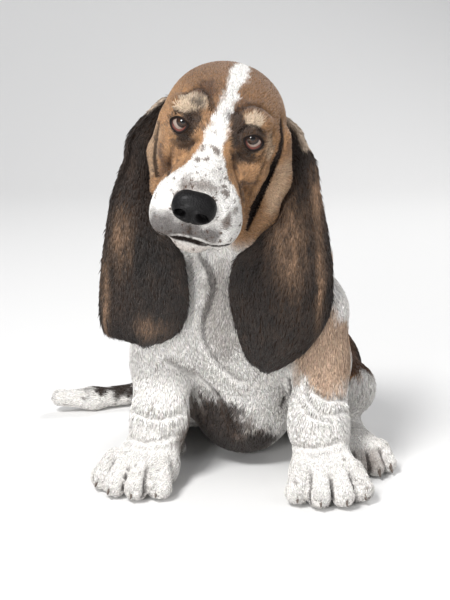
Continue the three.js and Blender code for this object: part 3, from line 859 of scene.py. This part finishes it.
def gridMesh(name, points, closed):
    # Quads over a grid of points, rows by columns. The columns close on themselves, and where closed is true
    # the first and last rows are poles.
    rows, columns = points.shape[:2]
    i, j = np.meshgrid(np.arange(rows - 1), np.arange(columns), indexing="ij")
    here, following = i * columns, (j + 1) % columns
    quads = np.stack([here + j, here + following, here + columns + following, here + columns + j], axis=-1)
    mesh = meshOf(name, points.reshape(-1, 3), quads.reshape(-1, 4))
    if closed:
        work = bmesh.new()
        work.from_mesh(mesh)
        bmesh.ops.remove_doubles(work, verts=work.verts, dist=2e-6)
        bmesh.ops.recalc_face_normals(work, faces=work.faces)
        work.to_mesh(mesh)
        work.free()
    return mesh


def addObject(name, data):
    thing = bpy.data.objects.new(name, data)
    bpy.context.scene.collection.objects.link(thing)
    return thing


def addPiece(mesh, material, nodes):
    piece = addObject(mesh.name, mesh)
    piece.data.materials.append(material)
    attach(piece, "root")
    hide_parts(*nodes)


# Materials. Each sets the shader's own inputs. "grain" makes the painted colour lighter and darker by noise:
# its size, least and most. "bump" is a pattern, its size, its strength and its height in metres.

finishes = {
    "coat_fur": {
        "Roughness": 0.62, "Specular IOR Level": 0.28, "Sheen Weight": 0.08, "grain": (260, 0.91, 1.06),
    },
    "coat_under": {
        "Roughness": 0.8, "Specular IOR Level": 0.15, "grain": (420, 0.6, 1.05),
        "bump": ("ShaderNodeTexNoise", 900, 0.6, 0.0006),
    },
    "lid_rim": {"Roughness": 0.6, "Specular IOR Level": 0.12, "grain": (500, 0.85, 1.1)},
    "eye_ball": {
        "Roughness": 0.08, "Specular IOR Level": 0.25, "Coat Weight": 0.4, "Coat Roughness": 0.03,
        "grain": (900, 0.85, 1.15),
    },
    "nose_skin": {
        "Roughness": 0.5, "Specular IOR Level": 0.14, "Coat Weight": 0.05, "Coat Roughness": 0.25,
        "grain": (300, 0.7, 1.3), "bump": ("ShaderNodeTexVoronoi", 620, 0.55, 0.0008),
    },
    "claw_horn": {
        "Roughness": 0.32, "Specular IOR Level": 0.5, "grain": (350, 0.8, 1.2),
        "bump": ("ShaderNodeTexNoise", 500, 0.2, 0.0003),
    },
    "floor_paper": {"Roughness": 0.9, "Specular IOR Level": 0.1, "Base Color": (0.71, 0.705, 0.695, 1)},
}


def newMaterial(name):
    values = dict(finishes[name])
    grain, bump = values.pop("grain", None), values.pop("bump", None)
    material = bpy.data.materials.new(name)
    material.use_nodes = True
    tree = material.node_tree
    shader = tree.nodes["Principled BSDF"]
    place = tree.nodes.new("ShaderNodeTexCoord").outputs["Object"]
    setInputs(shader, values)
    if grain:
        addGrain(tree, shader, place, *grain)
    if bump:
        addBump(tree, shader, place, *bump)
    return material


def setInputs(node, values):
    for label, value in values.items():
        node.inputs[label].default_value = value


def addGrain(tree, shader, place, size, least, most):
    painted = tree.nodes.new("ShaderNodeAttribute")
    painted.attribute_name = "Coat"
    pattern = tree.nodes.new("ShaderNodeTexNoise")
    setInputs(pattern, {"Scale": size, "Detail": 3})
    span = tree.nodes.new("ShaderNodeMapRange")
    setInputs(span, {"From Min": 0.3, "From Max": 0.7, "To Min": least, "To Max": most})
    scale = tree.nodes.new("ShaderNodeVectorMath")
    scale.operation = "SCALE"
    tree.links.new(place, pattern.inputs["Vector"])
    tree.links.new(pattern.outputs["Fac"], span.inputs["Value"])
    tree.links.new(painted.outputs["Color"], scale.inputs[0])
    tree.links.new(span.outputs["Result"], scale.inputs["Scale"])
    tree.links.new(scale.outputs["Vector"], shader.inputs["Base Color"])


def addBump(tree, shader, place, kind, size, strength, height):
    pattern = tree.nodes.new(kind)
    setInputs(pattern, {"Scale": size})
    bump = tree.nodes.new("ShaderNodeBump")
    setInputs(bump, {"Strength": strength, "Distance": height})
    tree.links.new(place, pattern.inputs["Vector"])
    tree.links.new(pattern.outputs[0], bump.inputs["Height"])
    tree.links.new(bump.outputs["Normal"], shader.inputs["Normal"])


# Eyes, lids and haws

eyeLook = {  # angles from the line of sight in degrees, and the shares of gaze and cornea
    "iris": 31, "pupil": 13, "rim": 33, "gaze": 0.85, "cornea": 0.035,
    "irisColour": (0.014, 0.006, 0.003), "irisInner": (0.042, 0.017, 0.006),
    "pupilColour": (0.002, 0.002, 0.002), "rimColour": (0.004, 0.003, 0.003),
    "white": (0.30, 0.23, 0.19), "haw": (0.15, 0.050, 0.040), "margin": (0.010, 0.007, 0.006),
}


def eyeBall(side):
    # Centre + radius (sight cos polar + ring sin polar), with a radius that swells near the line of sight.
    # The angle from that line gives pupil, iris, rim and white.
    centre, rotation = eyePlace(side)
    gaze = eyeLook["gaze"]
    sight = unit(gaze * unit(cameraAt - centre) + (1 - gaze) * (-rotation[:, 1]))
    a = unit(np.cross(sight, [0, 0, 1]))
    b = np.cross(a, sight)
    polar, turn = roundGrid(97, 96, np.pi)
    ring = a * np.cos(turn)[..., None] + b * np.sin(turn)[..., None]
    bulge = 1 + eyeLook["cornea"] * smooth(0.62, 0.2, polar)
    direction = sight * np.cos(polar)[..., None] + ring * np.sin(polar)[..., None]
    points = centre + direction * (eye["radius"] * bulge)[..., None]
    mesh = gridMesh(f"eyeball_{sideName(side)}", toFrame(points), closed=True)
    d = unit(fromFrame(vectorsOf(mesh)) - centre)
    angle = np.degrees(np.arccos(np.clip(d @ sight, -1, 1)))[:, None]
    around = np.arctan2(d @ b, d @ a)[:, None]
    streak = 0.5 + 0.5 * np.sin(around * 23 + 3 * np.sin(around * 7)) * np.sin(around * 41 + 1)
    inner = smooth(eyeLook["iris"] * 0.95, eyeLook["pupil"], angle)
    colour = mixed(eyeLook["irisColour"], eyeLook["irisInner"], inner * (0.55 + 0.45 * streak))
    colour = np.where(angle < eyeLook["pupil"], eyeLook["pupilColour"], colour)
    colour = mixed(colour, eyeLook["rimColour"], smooth(eyeLook["iris"] - 2, eyeLook["iris"] + 1, angle))
    colour = mixed(colour, eyeLook["white"], smooth(eyeLook["rim"] - 1, eyeLook["rim"] + 3, angle))
    paint(mesh, colour)
    return mesh


def sideName(side):
    return "left" if side > 0 else "right"


def lidRays(side, extra, turn):
    # Directions from the eye's centre, extra degrees beyond the opening, by the angle round it
    n = 2 / aperture["power"]
    across = np.sign(np.cos(turn)) * np.abs(np.cos(turn)) ** n * aperture["across"]
    rise = np.sign(np.sin(turn)) * np.abs(np.sin(turn)) ** n
    rise = rise * np.where(rise > 0, aperture["up"], aperture["down"])
    grown = 1 + extra / np.hypot(across, rise)
    a, b = np.radians(across * grown), np.radians(rise * grown)
    return unit(np.stack([np.tan(a), -np.ones_like(a), np.tan(b)], axis=-1)) @ eyePlace(side)[1].T


lidLook = {  # the first three by rows: degrees beyond the opening, share of the way to the skin, height
    "beyond": (-5, -1.5, 0, 1.5, 3.5, 6, 8.5, 11, 14, 18),
    "toSkin": (0, 0, 0, 0.08, 0.3, 0.62, 0.88, 1, 1, 1),
    "height": (-0.6, 0.15, 1.0, 1.6, 1.9, 1.9, 1.3, 0.6, 0.25, -0.6),
    "around": 120, "lowerOut": 0.8,
}


def lidRing(side):
    # Centre + ray (ball (1 - share) + skin share + height), with ball and skin the ray's lengths to them:
    # from the ball out over a rounded margin and on to the skin
    turn = np.linspace(0, 2 * np.pi, lidLook["around"], endpoint=False)
    centre = eyePlace(side)[0]
    lower = smooth(0.1, 0.8, -np.sin(turn))
    ball = eye["radius"] + lower * lidLook["lowerOut"]
    rows = []
    for extra, share, height in zip(lidLook["beyond"], lidLook["toSkin"], lidLook["height"]):
        ways = lidRays(side, extra, turn)
        toSkin = reach(skinBase, centre, ways)
        rows.append(centre + ways * (ball * (1 - share) + toSkin * share + height)[:, None])
    points = np.stack(rows)
    mesh = gridMesh(f"lids_{sideName(side)}", toFrame(points), closed=False)
    row = np.repeat(lidLook["beyond"], len(turn))[:, None]
    colour = mixed(markings(points.reshape(-1, 3)), eyeLook["margin"], smooth(13, 6, row))
    pink = smooth(0.5, -1.5, row) * (0.3 + 0.7 * np.tile(lower, len(rows)))[:, None]
    paint(mesh, mixed(colour, eyeLook["haw"], pink))
    return mesh


hawLook = {"inner": 6, "corner": 0.8, "lift": 0.8, "above": 0.25, "tuck": 1.2, "under": -1.5}


def haw(side):
    # Crescent of wet skin on the rays of the lower lid, s from the lid inwards: the ball's radius + above
    # + lift low (1 - s) to the power 0.7 - tuck s to the power 6, and an underside inside the ball
    turn = np.linspace(1.04 * np.pi, 1.96 * np.pi, 60)
    low = np.sin(turn - np.pi) ** 0.7
    steps = np.linspace(0, 1, 9)
    wide = hawLook["inner"] * low + hawLook["corner"]
    over = [
        (s, hawLook["lift"] * low * (1 - s) ** 0.7 + hawLook["above"] - hawLook["tuck"] * s ** 6)
        for s in steps
    ]
    under = [(s, np.full(len(turn), float(hawLook["under"]))) for s in steps[::-1]]
    centre = eyePlace(side)[0]
    rows = [
        centre + lidRays(side, 1.5 - wide * s, turn) * (eye["radius"] + lift)[:, None]
        for s, lift in over + under
    ]
    mesh = gridMesh(f"haw_{sideName(side)}", toFrame(np.stack(rows).transpose(1, 0, 2)), closed=True)
    paint(mesh, eyeLook["haw"])
    return mesh


# Nose

noseLook = {  # depths and heights in millimetres; power squares the pad a little
    "at": (0, -91, -25), "radii": (20.5, 14, 15), "power": 2.35, "nostril": (10.2, -1.5), "pit": 4.3,
    "depth": 7, "slit": 2.6, "slitLong": 9, "groove": 1.3, "wing": 1.1, "flatTop": 2.2,
    # the inside colour is painted shade in the nostrils' pits
    "colour": (0.0045, 0.004, 0.0042), "inside": (0.0015, 0.001, 0.001),
}


def noseMesh():
    # Centre + radii times each direction over its own length by the power. The front is pressed in at two
    # comma-shaped nostrils and a middle groove and raised round the nostrils, and the top is lowered.
    look = noseLook
    polar, turn = roundGrid(131, 160, np.pi)
    d = np.stack([np.sin(polar) * np.cos(turn), -np.cos(polar), np.sin(polar) * np.sin(turn)], axis=-1)
    size = (np.abs(d) ** look["power"]).sum(-1) ** (-1 / look["power"])
    p = d * size[..., None] * look["radii"]
    x, z = np.abs(p[..., 0]), p[..., 2]
    nx, nz = look["nostril"]
    out = x - nx
    hole = np.hypot(out / 1.15, z - nz + 0.25 * out) / look["pit"]
    t = np.clip(out / look["slitLong"], 0, 1)
    slit = np.hypot(out - look["slitLong"] * t, z - nz + 5.5 * t ** 1.4) / 1.25
    pit = look["depth"] * np.exp(-hole ** 5) + look["slit"] * np.exp(-slit ** 3) * (x > nx)
    groove = look["groove"] * np.exp(-(x / 1.1) ** 2) * smooth(3, -4, z)
    wing = look["wing"] * np.exp(-((hole - 1.35) / 0.35) ** 2)
    p[..., 1] += smooth(0.1, 0.6, -d[..., 1]) * (pit + groove - wing)
    p[..., 2] -= look["flatTop"] * smooth(0, 16, z) * smooth(0.2, 1, -d[..., 1])
    points = outOf(headPlace, p.reshape(-1, 3) + look["at"]).reshape(p.shape)
    mesh = gridMesh("nose_pad", toFrame(points), closed=True)
    q = into(headPlace, fromFrame(vectorsOf(mesh))) - look["at"]
    # Darker in the nostrils: painted shade in their pits
    dark = np.exp(-(np.hypot(np.abs(q[:, 0]) - nx, q[:, 2] - nz) / 4.0) ** 4) * (q[:, 1] < 0)
    paint(mesh, mixed(look["colour"], look["inside"], dark[:, None]))
    return mesh


# Claws

claw = {
    "length": 12, "root": 3.0, "tip": 0.7, "droop": 30, "curl": 34, "splay": 16, "narrow": 0.75, "rings": 15,
    "colour": (0.10, 0.075, 0.06),
}


def clawMesh(name, limb):
    # Rings along an arc that bends down by the curl, with a radius from root to tip that closes at the end
    paw = limb["paw"]
    s, turn = roundGrid(claw["rings"], 16)
    radius = mixed(claw["root"], claw["tip"], s ** 1.3) * np.sqrt(np.clip(1 - s ** 14, 0, 1))
    radius[0] = 0
    bend = np.radians(claw["droop"] + claw["curl"] * s)
    step = claw["length"] / (claw["rings"] - 1)
    y = -np.cumsum(np.cos(bend) * step, axis=0)
    z = -np.cumsum(np.sin(bend) * step, axis=0)
    x, up = np.cos(turn) * radius * claw["narrow"], np.sin(turn) * radius
    arc = np.stack([x, y - np.sin(bend) * up, z + np.cos(bend) * up], axis=-1)
    work = bmesh.new()
    for side in toeSides:
        tip = toeTip(paw, side)
        own = arc @ turned(0, 0, side * claw["splay"]).T + [tip[0], tip[1] - paw["toe"] * 0.4, tip[2] + 2.5]
        points = outOf(limb["place"], own.reshape(-1, 3)).reshape(arc.shape)
        mesh = gridMesh(name, toFrame(points), closed=True)
        work.from_mesh(mesh)
        bpy.data.meshes.remove(mesh)
    whole = bpy.data.meshes.new(name)
    work.to_mesh(whole)
    work.free()
    paint(whole, claw["colour"])
    return whole


# Ears: each a strip between two edges, whose points run from its root to its tip

ears = {
    "ear_right": [
        [[-55, -42, 384], [-73, -46, 369], [-94, -52, 347], [-100, -58, 322], [-110, -66, 288],
         [-115, -74, 254], [-119, -80, 225], [-122, -84, 192], [-121, -86, 168], [-115, -88, 157],
         [-101, -92, 152], [-85, -95, 149]],
        [[-48, -34, 379], [-56, -30, 360], [-63, -30, 336], [-66, -38, 307], [-64, -58, 277],
         [-53, -79, 252], [-40, -90, 231], [-36, -97, 206], [-36, -99, 186], [-42, -100, 166],
         [-56, -99, 153], [-72, -97, 148]],
    ],
    "ear_left": [
        [[45, -20, 361], [48, -18, 339], [49, -22, 312], [48, -38, 284], [42, -66, 261], [26, -90, 246],
         [12, -99, 233], [6, -104, 214], [6, -106, 189], [12, -105, 161], [20, -103, 138], [31, -102, 126]],
        [[55, -34, 366], [72, -38, 352], [79, -43, 338], [90, -50, 315], [94, -58, 283], [99, -64, 249],
         [103, -72, 215], [103, -84, 185], [95, -90, 161], [79, -93, 139], [62, -96, 127], [48, -98, 121]],
    ],
}
ears = {name: np.array(edges, float) for name, edges in ears.items()}
earLook = {
    "thickness": 4.2, "bulge": 0.12, "ripple": 1.5, "wave": 1.2, "lip": 2.2, "around": 96, "along": 150,
}


def earPoint(edges, v, turn):
    # a + (b - a) (end cos turn + 1) / 2 + normal (bow + folds + rim + half thickness sin turn), with a and b
    # on the two edges at v, from root to tip, and the sine squared off. Gives the point and the normal.
    a, b = (alongSpline(edge, v) for edge in edges)
    ahead, back = (sum(alongSpline(edge, v + step) for edge in edges) for step in (0.01, -0.01))
    width = b - a
    wide = lengthOf(width)
    normal = unit(np.cross(unit(ahead - back), width))
    across = np.cos(turn)
    end = np.sqrt(np.clip(1 - (2 * v - 1) ** 2, 0, 1) * 8).clip(0, 1)
    through = np.sign(np.sin(turn)) * np.abs(np.sin(turn)) ** 0.6
    bow = (1 - across ** 2) * wide * earLook["bulge"]
    fold = earLook["ripple"] * np.sin(5.5 * across + 6 * v) * smooth(0.05, 0.3, v) * (0.4 + 0.6 * across ** 2)
    fold = fold + earLook["wave"] * np.sin(11 * v + 2.2 * across) * across ** 2
    rim = earLook["lip"] * smooth(0.72, 1.0, np.abs(across)) * smooth(1, 0.5, v)
    thick = earLook["thickness"] / 2 * (1.5 - 0.5 * np.clip(v * 4, 0, 1)) * end
    thick = thick * (1 + 0.9 * smooth(0.75, 1, np.abs(across)) * smooth(0.34, 0.1, v))
    middle = (across * end + 1) / 2
    p = a + width * middle[..., None]
    return p + normal * (bow * end + fold * end + rim + through * thick)[..., None], normal


def earMesh(name, edges):
    v, turn = roundGrid(earLook["along"], earLook["around"])
    mesh = gridMesh(f"{name}_skin", toFrame(earPoint(edges, v, turn)[0]), closed=True)
    paint(mesh, earColours(name, fromFrame(vectorsOf(mesh))))
    return mesh


earTone = {
    # the sheen colour is painted light on the hair
    "dark": (0.012, 0.008, 0.006), "lit": (0.045, 0.026, 0.017), "paintedSheenColour": (0.27, 0.165, 0.10),
    "rim": (0.60, 0.48, 0.37),
    "paintedSheenPlaces": {  # middles and half sizes of the painted sheen: lighter places that stand for light on the hair
        "ear_left": [
            ((62, -84, 250), (15, 60, 42)), ((88, -50, 292), (5, 60, 26)), ((92, -70, 205), (4, 60, 44)),
        ],
        "ear_right": [
            ((-100, -74, 250), (9, 60, 24)), ((-116, -84, 190), (4, 60, 34)), ((-70, -84, 168), (14, 60, 10)),
        ],
    },
    "rims": {"ear_left": (1, 3, 5), "ear_right": (0, 2, 1.5)},  # edge, how many of its points, radius
}


def earColours(name, p):
    streak = noise(p * [1, 0.5, 0.16], 2.6, 90) + 0.5 * noise(p * [1, 0.5, 0.2], 1.3, 93)
    # Painted sheen: streaky lighter places that stand for light on the ears' hair
    paintedSheenWeight = sum(np.exp(-lengthOf((p - middle) / half) ** 2) for middle, half in earTone["paintedSheenPlaces"][name])
    paintedSheenWeight = np.clip(paintedSheenWeight * (0.75 + 0.6 * streak) + 0.06 * noise(p, 9, 92), 0, 1)
    broad = np.clip(0.4 + 0.5 * noise(p * [1, 1, 0.5], 24, 94) + 0.3 * streak, 0, 1)
    edge, count, radius = earTone["rims"][name]
    rim = furrow(radius, ears[name][edge][:count])
    pale = 0.8 * smooth(2.5, -1.5, rim(p) + 1.5 * noise(p, 5, 95))
    colour = mixed(earTone["dark"], earTone["lit"], 0.6 * broad[:, None])
    return mixed(mixed(colour, earTone["paintedSheenColour"], paintedSheenWeight[:, None]), earTone["rim"], pale[:, None])


# Coat

fur = {
    "seed": 11, "body": 190000, "perPiece": 32000,
    "earSeed": 20, "earTries": 38400,  # about half of an ear's tries become tufts
    "length": {"body": 9.5, "head": 5.2, "paw": 5.5, "ear": 9},
    "width": {"body": 1.15, "head": 0.85, "paw": 0.95, "ear": 1.0},
    "spread": 0.2, "earSpread": 0.16,  # how far the hairs turn from the lie of the coat
    "lift": (4, 13), "earLift": (3, 11),  # the least and most degrees that they stand off the skin
    "moreOnFace": 1.7, "moreOnFeet": 0.5, "lessInFolds": 0.75,
    "shorterOnMuzzle": 0.35, "finerOnMuzzle": 0.2, "shorterInFolds": 0.6,
    "clearOfLids": 9, "clearOfEye": 24, "clearOfNose": 15, "clearOfFloor": 2.5,
}


def scatter(mesh, count, random, weight):
    # Roots spread over the triangles by area times weight, with the normal there
    mesh.calc_loop_triangles()
    corners = np.empty(len(mesh.loop_triangles) * 3, np.int32)
    mesh.loop_triangles.foreach_get("vertices", corners)
    corners = corners.reshape(-1, 3)
    p, n = vectorsOf(mesh), vectorsOf(mesh, "normal")
    a, b, c = (p[corners[:, k]] for k in range(3))
    area = lengthOf(np.cross(b - a, c - a)) / 2
    area = area * weight((a + b + c) / 3)
    pick = np.sort(np.searchsorted(np.cumsum(area) / area.sum(), random.random(count)).clip(0, len(area) - 1))
    r, s = random.random((2, count))
    flip = r + s > 1
    r, s = np.where(flip, 1 - r, r), np.where(flip, 1 - s, s)
    mix = np.stack([1 - r - s, r, s], axis=1)[:, :, None]
    return (p[corners[pick]] * mix).sum(1), unit((n[corners[pick]] * mix).sum(1))


def coverage(p):  # how closely the tufts stand: closest on face and feet, none on eyes, nose and soles
    face = smooth(30, -6, headAlone(p))
    feet = smooth(70, 40, p[:, 2])
    out = np.where(p[:, 2] < fur["clearOfFloor"], 0.0, 1.0)
    for side in (-1, 1):
        q = into(eyePlace(side), p)
        out = out * np.where((beyond(q) < fur["clearOfLids"]) & (lengthOf(q) < fur["clearOfEye"]), 0.0, 1.0)
    noseAt = outOf(headPlace, [noseLook["at"]])[0]
    out = out * np.where(lengthOf(p - noseAt) < fur["clearOfNose"], 0.0, 1.0)
    closer = 1 + fur["moreOnFace"] * face + fur["moreOnFeet"] * feet
    return out * closer * (1 - fur["lessInFolds"] * inFolds(p)[0])


axes = {  # the line that each region of the coat is unwrapped round, from its start to its end
    "head": outOf(headPlace, [[0, -110, -30], [0, 100, 0]]),
    "trunk": [[40, 120, -5], [4, -30, 350]], "tail": [[50, 210, 20], [-205, 136, 15]],
    "foreleg_right": [[-78, -84, -5], [-60, -42, 215]], "foreleg_left": [[97, -108, -5], [88, -48, 215]],
    "hindleg_right": [[-66, -50, 30], [-50, 170, 60]], "hindleg_left": [[136, -95, 30], [116, 160, 60]],
}


def unwrapRound(p, ends):  # angle round the line across the map, distance along it up the map
    start, end = np.array(ends, float)
    along = unit((end - start)[None])[0]
    side = unit(np.cross(along, [0.3, 1, 0.2])[None])[0]
    other = np.cross(along, side)
    q = p - start
    u = np.arctan2(q @ other, q @ side) / (2 * np.pi) + 0.5
    return inMap(u, (q @ along) / lengthOf(end - start))


def inMap(u, v):  # both from 0 to 1, kept off the edges of the map
    return np.column_stack([u, v]) * 0.99 + 0.005


def ruffled(ways, normals, spread, random):  # each way turned about its normal by a random angle
    turnBy = random.normal(0, spread, len(ways))[:, None]
    return unit(ways * np.cos(turnBy) + np.cross(normals, ways) * np.sin(turnBy))


def bodyCoat(skin, material):
    random = np.random.default_rng(fur["seed"])
    p, n = scatter(skin, fur["body"], random, coverage)
    ways, names, values = lieOf(p, n)
    ways = ruffled(ways, n, fur["spread"], random)
    face = smooth(16, -4, headAlone(p))
    muzzleNear = smooth(80, 40, lengthOf(p - outOf(headPlace, [[0, -62, -36]])[0]))
    feet = smooth(80, 45, p[:, 2]) * smooth(2, 12, values[:, 1])
    lengths, widths = (
        mixed(mixed(fur[size]["body"], fur[size]["head"], face), fur[size]["paw"], feet)
        for size in ("length", "width")
    )
    lengths = lengths * (1 - fur["shorterOnMuzzle"] * muzzleNear) * random.uniform(0.75, 1.25, len(p))
    lengths = lengths * (1 - fur["shorterInFolds"] * inFolds(p)[1])
    widths = widths * (1 - fur["finerOnMuzzle"] * muzzleNear) * random.uniform(0.8, 1.2, len(p))
    lifts = np.radians(random.uniform(*fur["lift"], len(p)))
    colours = markings(p)
    spread = 0.05 + 0.1 * smooth(0.6, 0.2, colours[:, 1:2])
    colours = colours * (1 + spread * random.normal(0, 1, (len(p), 1))) * random.normal(1, 0.015, (len(p), 3))
    region = np.argmin(values, axis=1)
    nodesOf = {"head": ["head"], "trunk": ["neck", "torso"], "tail": ["tail"]}
    for i, name in enumerate(names):
        own = np.flatnonzero(region == i)
        groups = np.array_split(own, int(np.ceil(len(own) / fur["perPiece"])))
        for k, part in enumerate(groups):
            label = f"coat_{name}_{k + 1}" if len(groups) > 1 else f"coat_{name}"
            mesh = tuftMesh(label, p[part], n[part], ways[part], lengths[part], widths[part], lifts[part],
                            np.clip(colours[part], 0, 1), unwrapRound(p[part], axes[name]), random)
            addPiece(mesh, material, nodesOf.get(name, [name, name.replace("leg", "paw")]))
            print("  ", label, len(part), "tufts")


def earCoat(name, edges, material, seed):
    # Roots at random values of the ear's two parameters, most where the ear is wide and on its two faces. The
    # hairs run along v, from root to tip.
    random = np.random.default_rng(seed)
    tries = fur["earTries"]
    v = random.random(tries)
    turn = random.random(tries) * 2 * np.pi
    a, b = (alongSpline(edge, v) for edge in edges)
    wide = lengthOf(b - a)
    chance = (wide / wide.max()) * (0.35 + 0.65 * np.abs(np.sin(turn)))
    keep = np.flatnonzero(random.random(tries) < chance)
    v, turn = v[keep], turn[keep]
    h = 0.004
    p, normal = earPoint(edges, v, turn)
    alongV = earPoint(edges, np.clip(v + h, 0, 1), turn)[0] - earPoint(edges, np.clip(v - h, 0, 1), turn)[0]
    aroundT = earPoint(edges, v, turn + h)[0] - earPoint(edges, v, turn - h)[0]
    n = unit(np.cross(aroundT, alongV))
    outward = np.sign(np.sin(turn))[:, None] * normal
    n = n * np.sign((n * outward).sum(1, keepdims=True) + 1e-9)
    ways = ruffled(unit(alongV), n, fur["earSpread"], random)
    lengths = fur["length"]["ear"] * random.uniform(0.7, 1.3, len(p)) * (0.6 + 0.4 * smooth(0, 0.2, v))
    widths = fur["width"]["ear"] * random.uniform(0.8, 1.2, len(p))
    lifts = np.radians(random.uniform(*fur["earLift"], len(p)))
    colours = np.clip(earColours(name, p) * random.normal(1, 0.16, (len(p), 1)), 0, 1)
    unwrap = inMap(turn / (2 * np.pi), v)
    mesh = tuftMesh(f"coat_{name}", p, n, ways, lengths, widths, lifts, colours, unwrap, random)
    addPiece(mesh, material, [name])
    print("  ", f"coat_{name}", len(p), "tufts")


# Making

materials = {name: newMaterial(name) for name in finishes}

print("skin")
skin = skinSurface()
paint(skin, markings(vectorsOf(skin)))
skin.polygons.foreach_set("use_smooth", np.ones(len(skin.polygons), bool))
print("   faces", len(skin.polygons))

print("coat")
bodyCoat(skin, materials["coat_fur"])
movePoints(skin, toFrame(vectorsOf(skin)))
addPiece(skin, materials["coat_under"], fleshNodes)

print("ears")
for i, (name, edges) in enumerate(ears.items()):
    addPiece(earMesh(name, edges), materials["coat_under"], [name])
    earCoat(name, edges, materials["coat_fur"], fur["earSeed"] + i)

print("eyes, nose and claws")
for side in (-1, 1):
    node = f"eye_{sideName(side)}"
    addPiece(eyeBall(side), materials["eye_ball"], [node])
    addPiece(haw(side), materials["lid_rim"], [node])
    addPiece(lidRing(side), materials["lid_rim"], ["head"])
addPiece(noseMesh(), materials["nose_skin"], ["nose"])
for name, limb in limbs.items():
    paw = name.replace("leg", "paw")
    claws = [f"{paw}_claw_{i + 1}" for i in range(4)]
    addPiece(clawMesh(f"{paw}_claws", limb), materials["claw_horn"], claws)


# Floor, light and camera

studio = {
    "width": 9, "ahead": 3, "behind": 3.2, "height": 4, "curve": 1.4,
    "sky": 0.46, "skyColour": (0.93, 0.95, 1.0, 1),
    "lights": {  # power, place, the point it is aimed at and width of its disk
        "key": (76, (-1.0, -1.3, 2.4), (0, 0, 0.2), 0.8),
        "fill": (9, (1.7, -1.5, 1.0), (0, 0, 0.2), 1.6),
        "rim": (24, (1.0, 1.7, 1.7), (0, 0, 0.25), 0.9),
        "glint": (13, (-0.55, -1.6, 0.6), (0, 0, 0.35), 0.35),
    },
}


def sweep():
    # Floor that curves up into a wall: a profile of two straights joined by a quarter turn, carried across
    curve, behind = studio["curve"], studio["behind"]
    turn = np.linspace(0, np.pi / 2, 24)
    y = np.concatenate([[-studio["ahead"]], behind - curve + curve * np.sin(turn), [behind]])
    z = np.concatenate([[0], curve * (1 - np.cos(turn)), [studio["height"]]])
    x = np.array([-studio["width"] / 2, studio["width"] / 2])
    points = np.stack(np.broadcast_arrays(x[:, None], y[None], z[None]), axis=-1)
    columns = points.shape[1]
    j = np.arange(columns - 1)
    quads = np.stack([j, j + 1, j + columns + 1, j + columns], axis=-1)
    mesh = meshOf("studio_floor", points.reshape(-1, 3), quads)
    mesh.materials.append(materials["floor_paper"])
    addObject("studio_floor", mesh)


def addLight(name, power, at, aim, width):
    light = bpy.data.lights.new(name, "AREA")
    light.shape = "DISK"
    light.size = width
    light.energy = power
    lamp = addObject(name, light)
    lamp.location = at
    lamp.rotation_euler = (Vector(aim) - Vector(at)).to_track_quat("-Z", "Y").to_euler()


sweep()
for name, values in studio["lights"].items():
    addLight(name, *values)
world = bpy.data.worlds.new("studio")
world.use_nodes = True
setInputs(world.node_tree.nodes["Background"], {"Color": studio["skyColour"], "Strength": studio["sky"]})
bpy.context.scene.world = world
bpy.context.scene.view_settings.view_transform = "Standard"

camera = bpy.data.cameras.new("camera")
camera.sensor_fit = "VERTICAL"
camera.sensor_height = view["sensor"]
camera.lens = view["focal"] / view["height"] * view["sensor"]
camera.clip_end = 50
cameraObject = addObject("camera", camera)
cameraObject.location = toFrame(cameraAt)
cameraObject.rotation_euler = (math.radians(90 - view["pitch"]), 0, 0)
bpy.context.scene.camera = cameraObject

print("done")
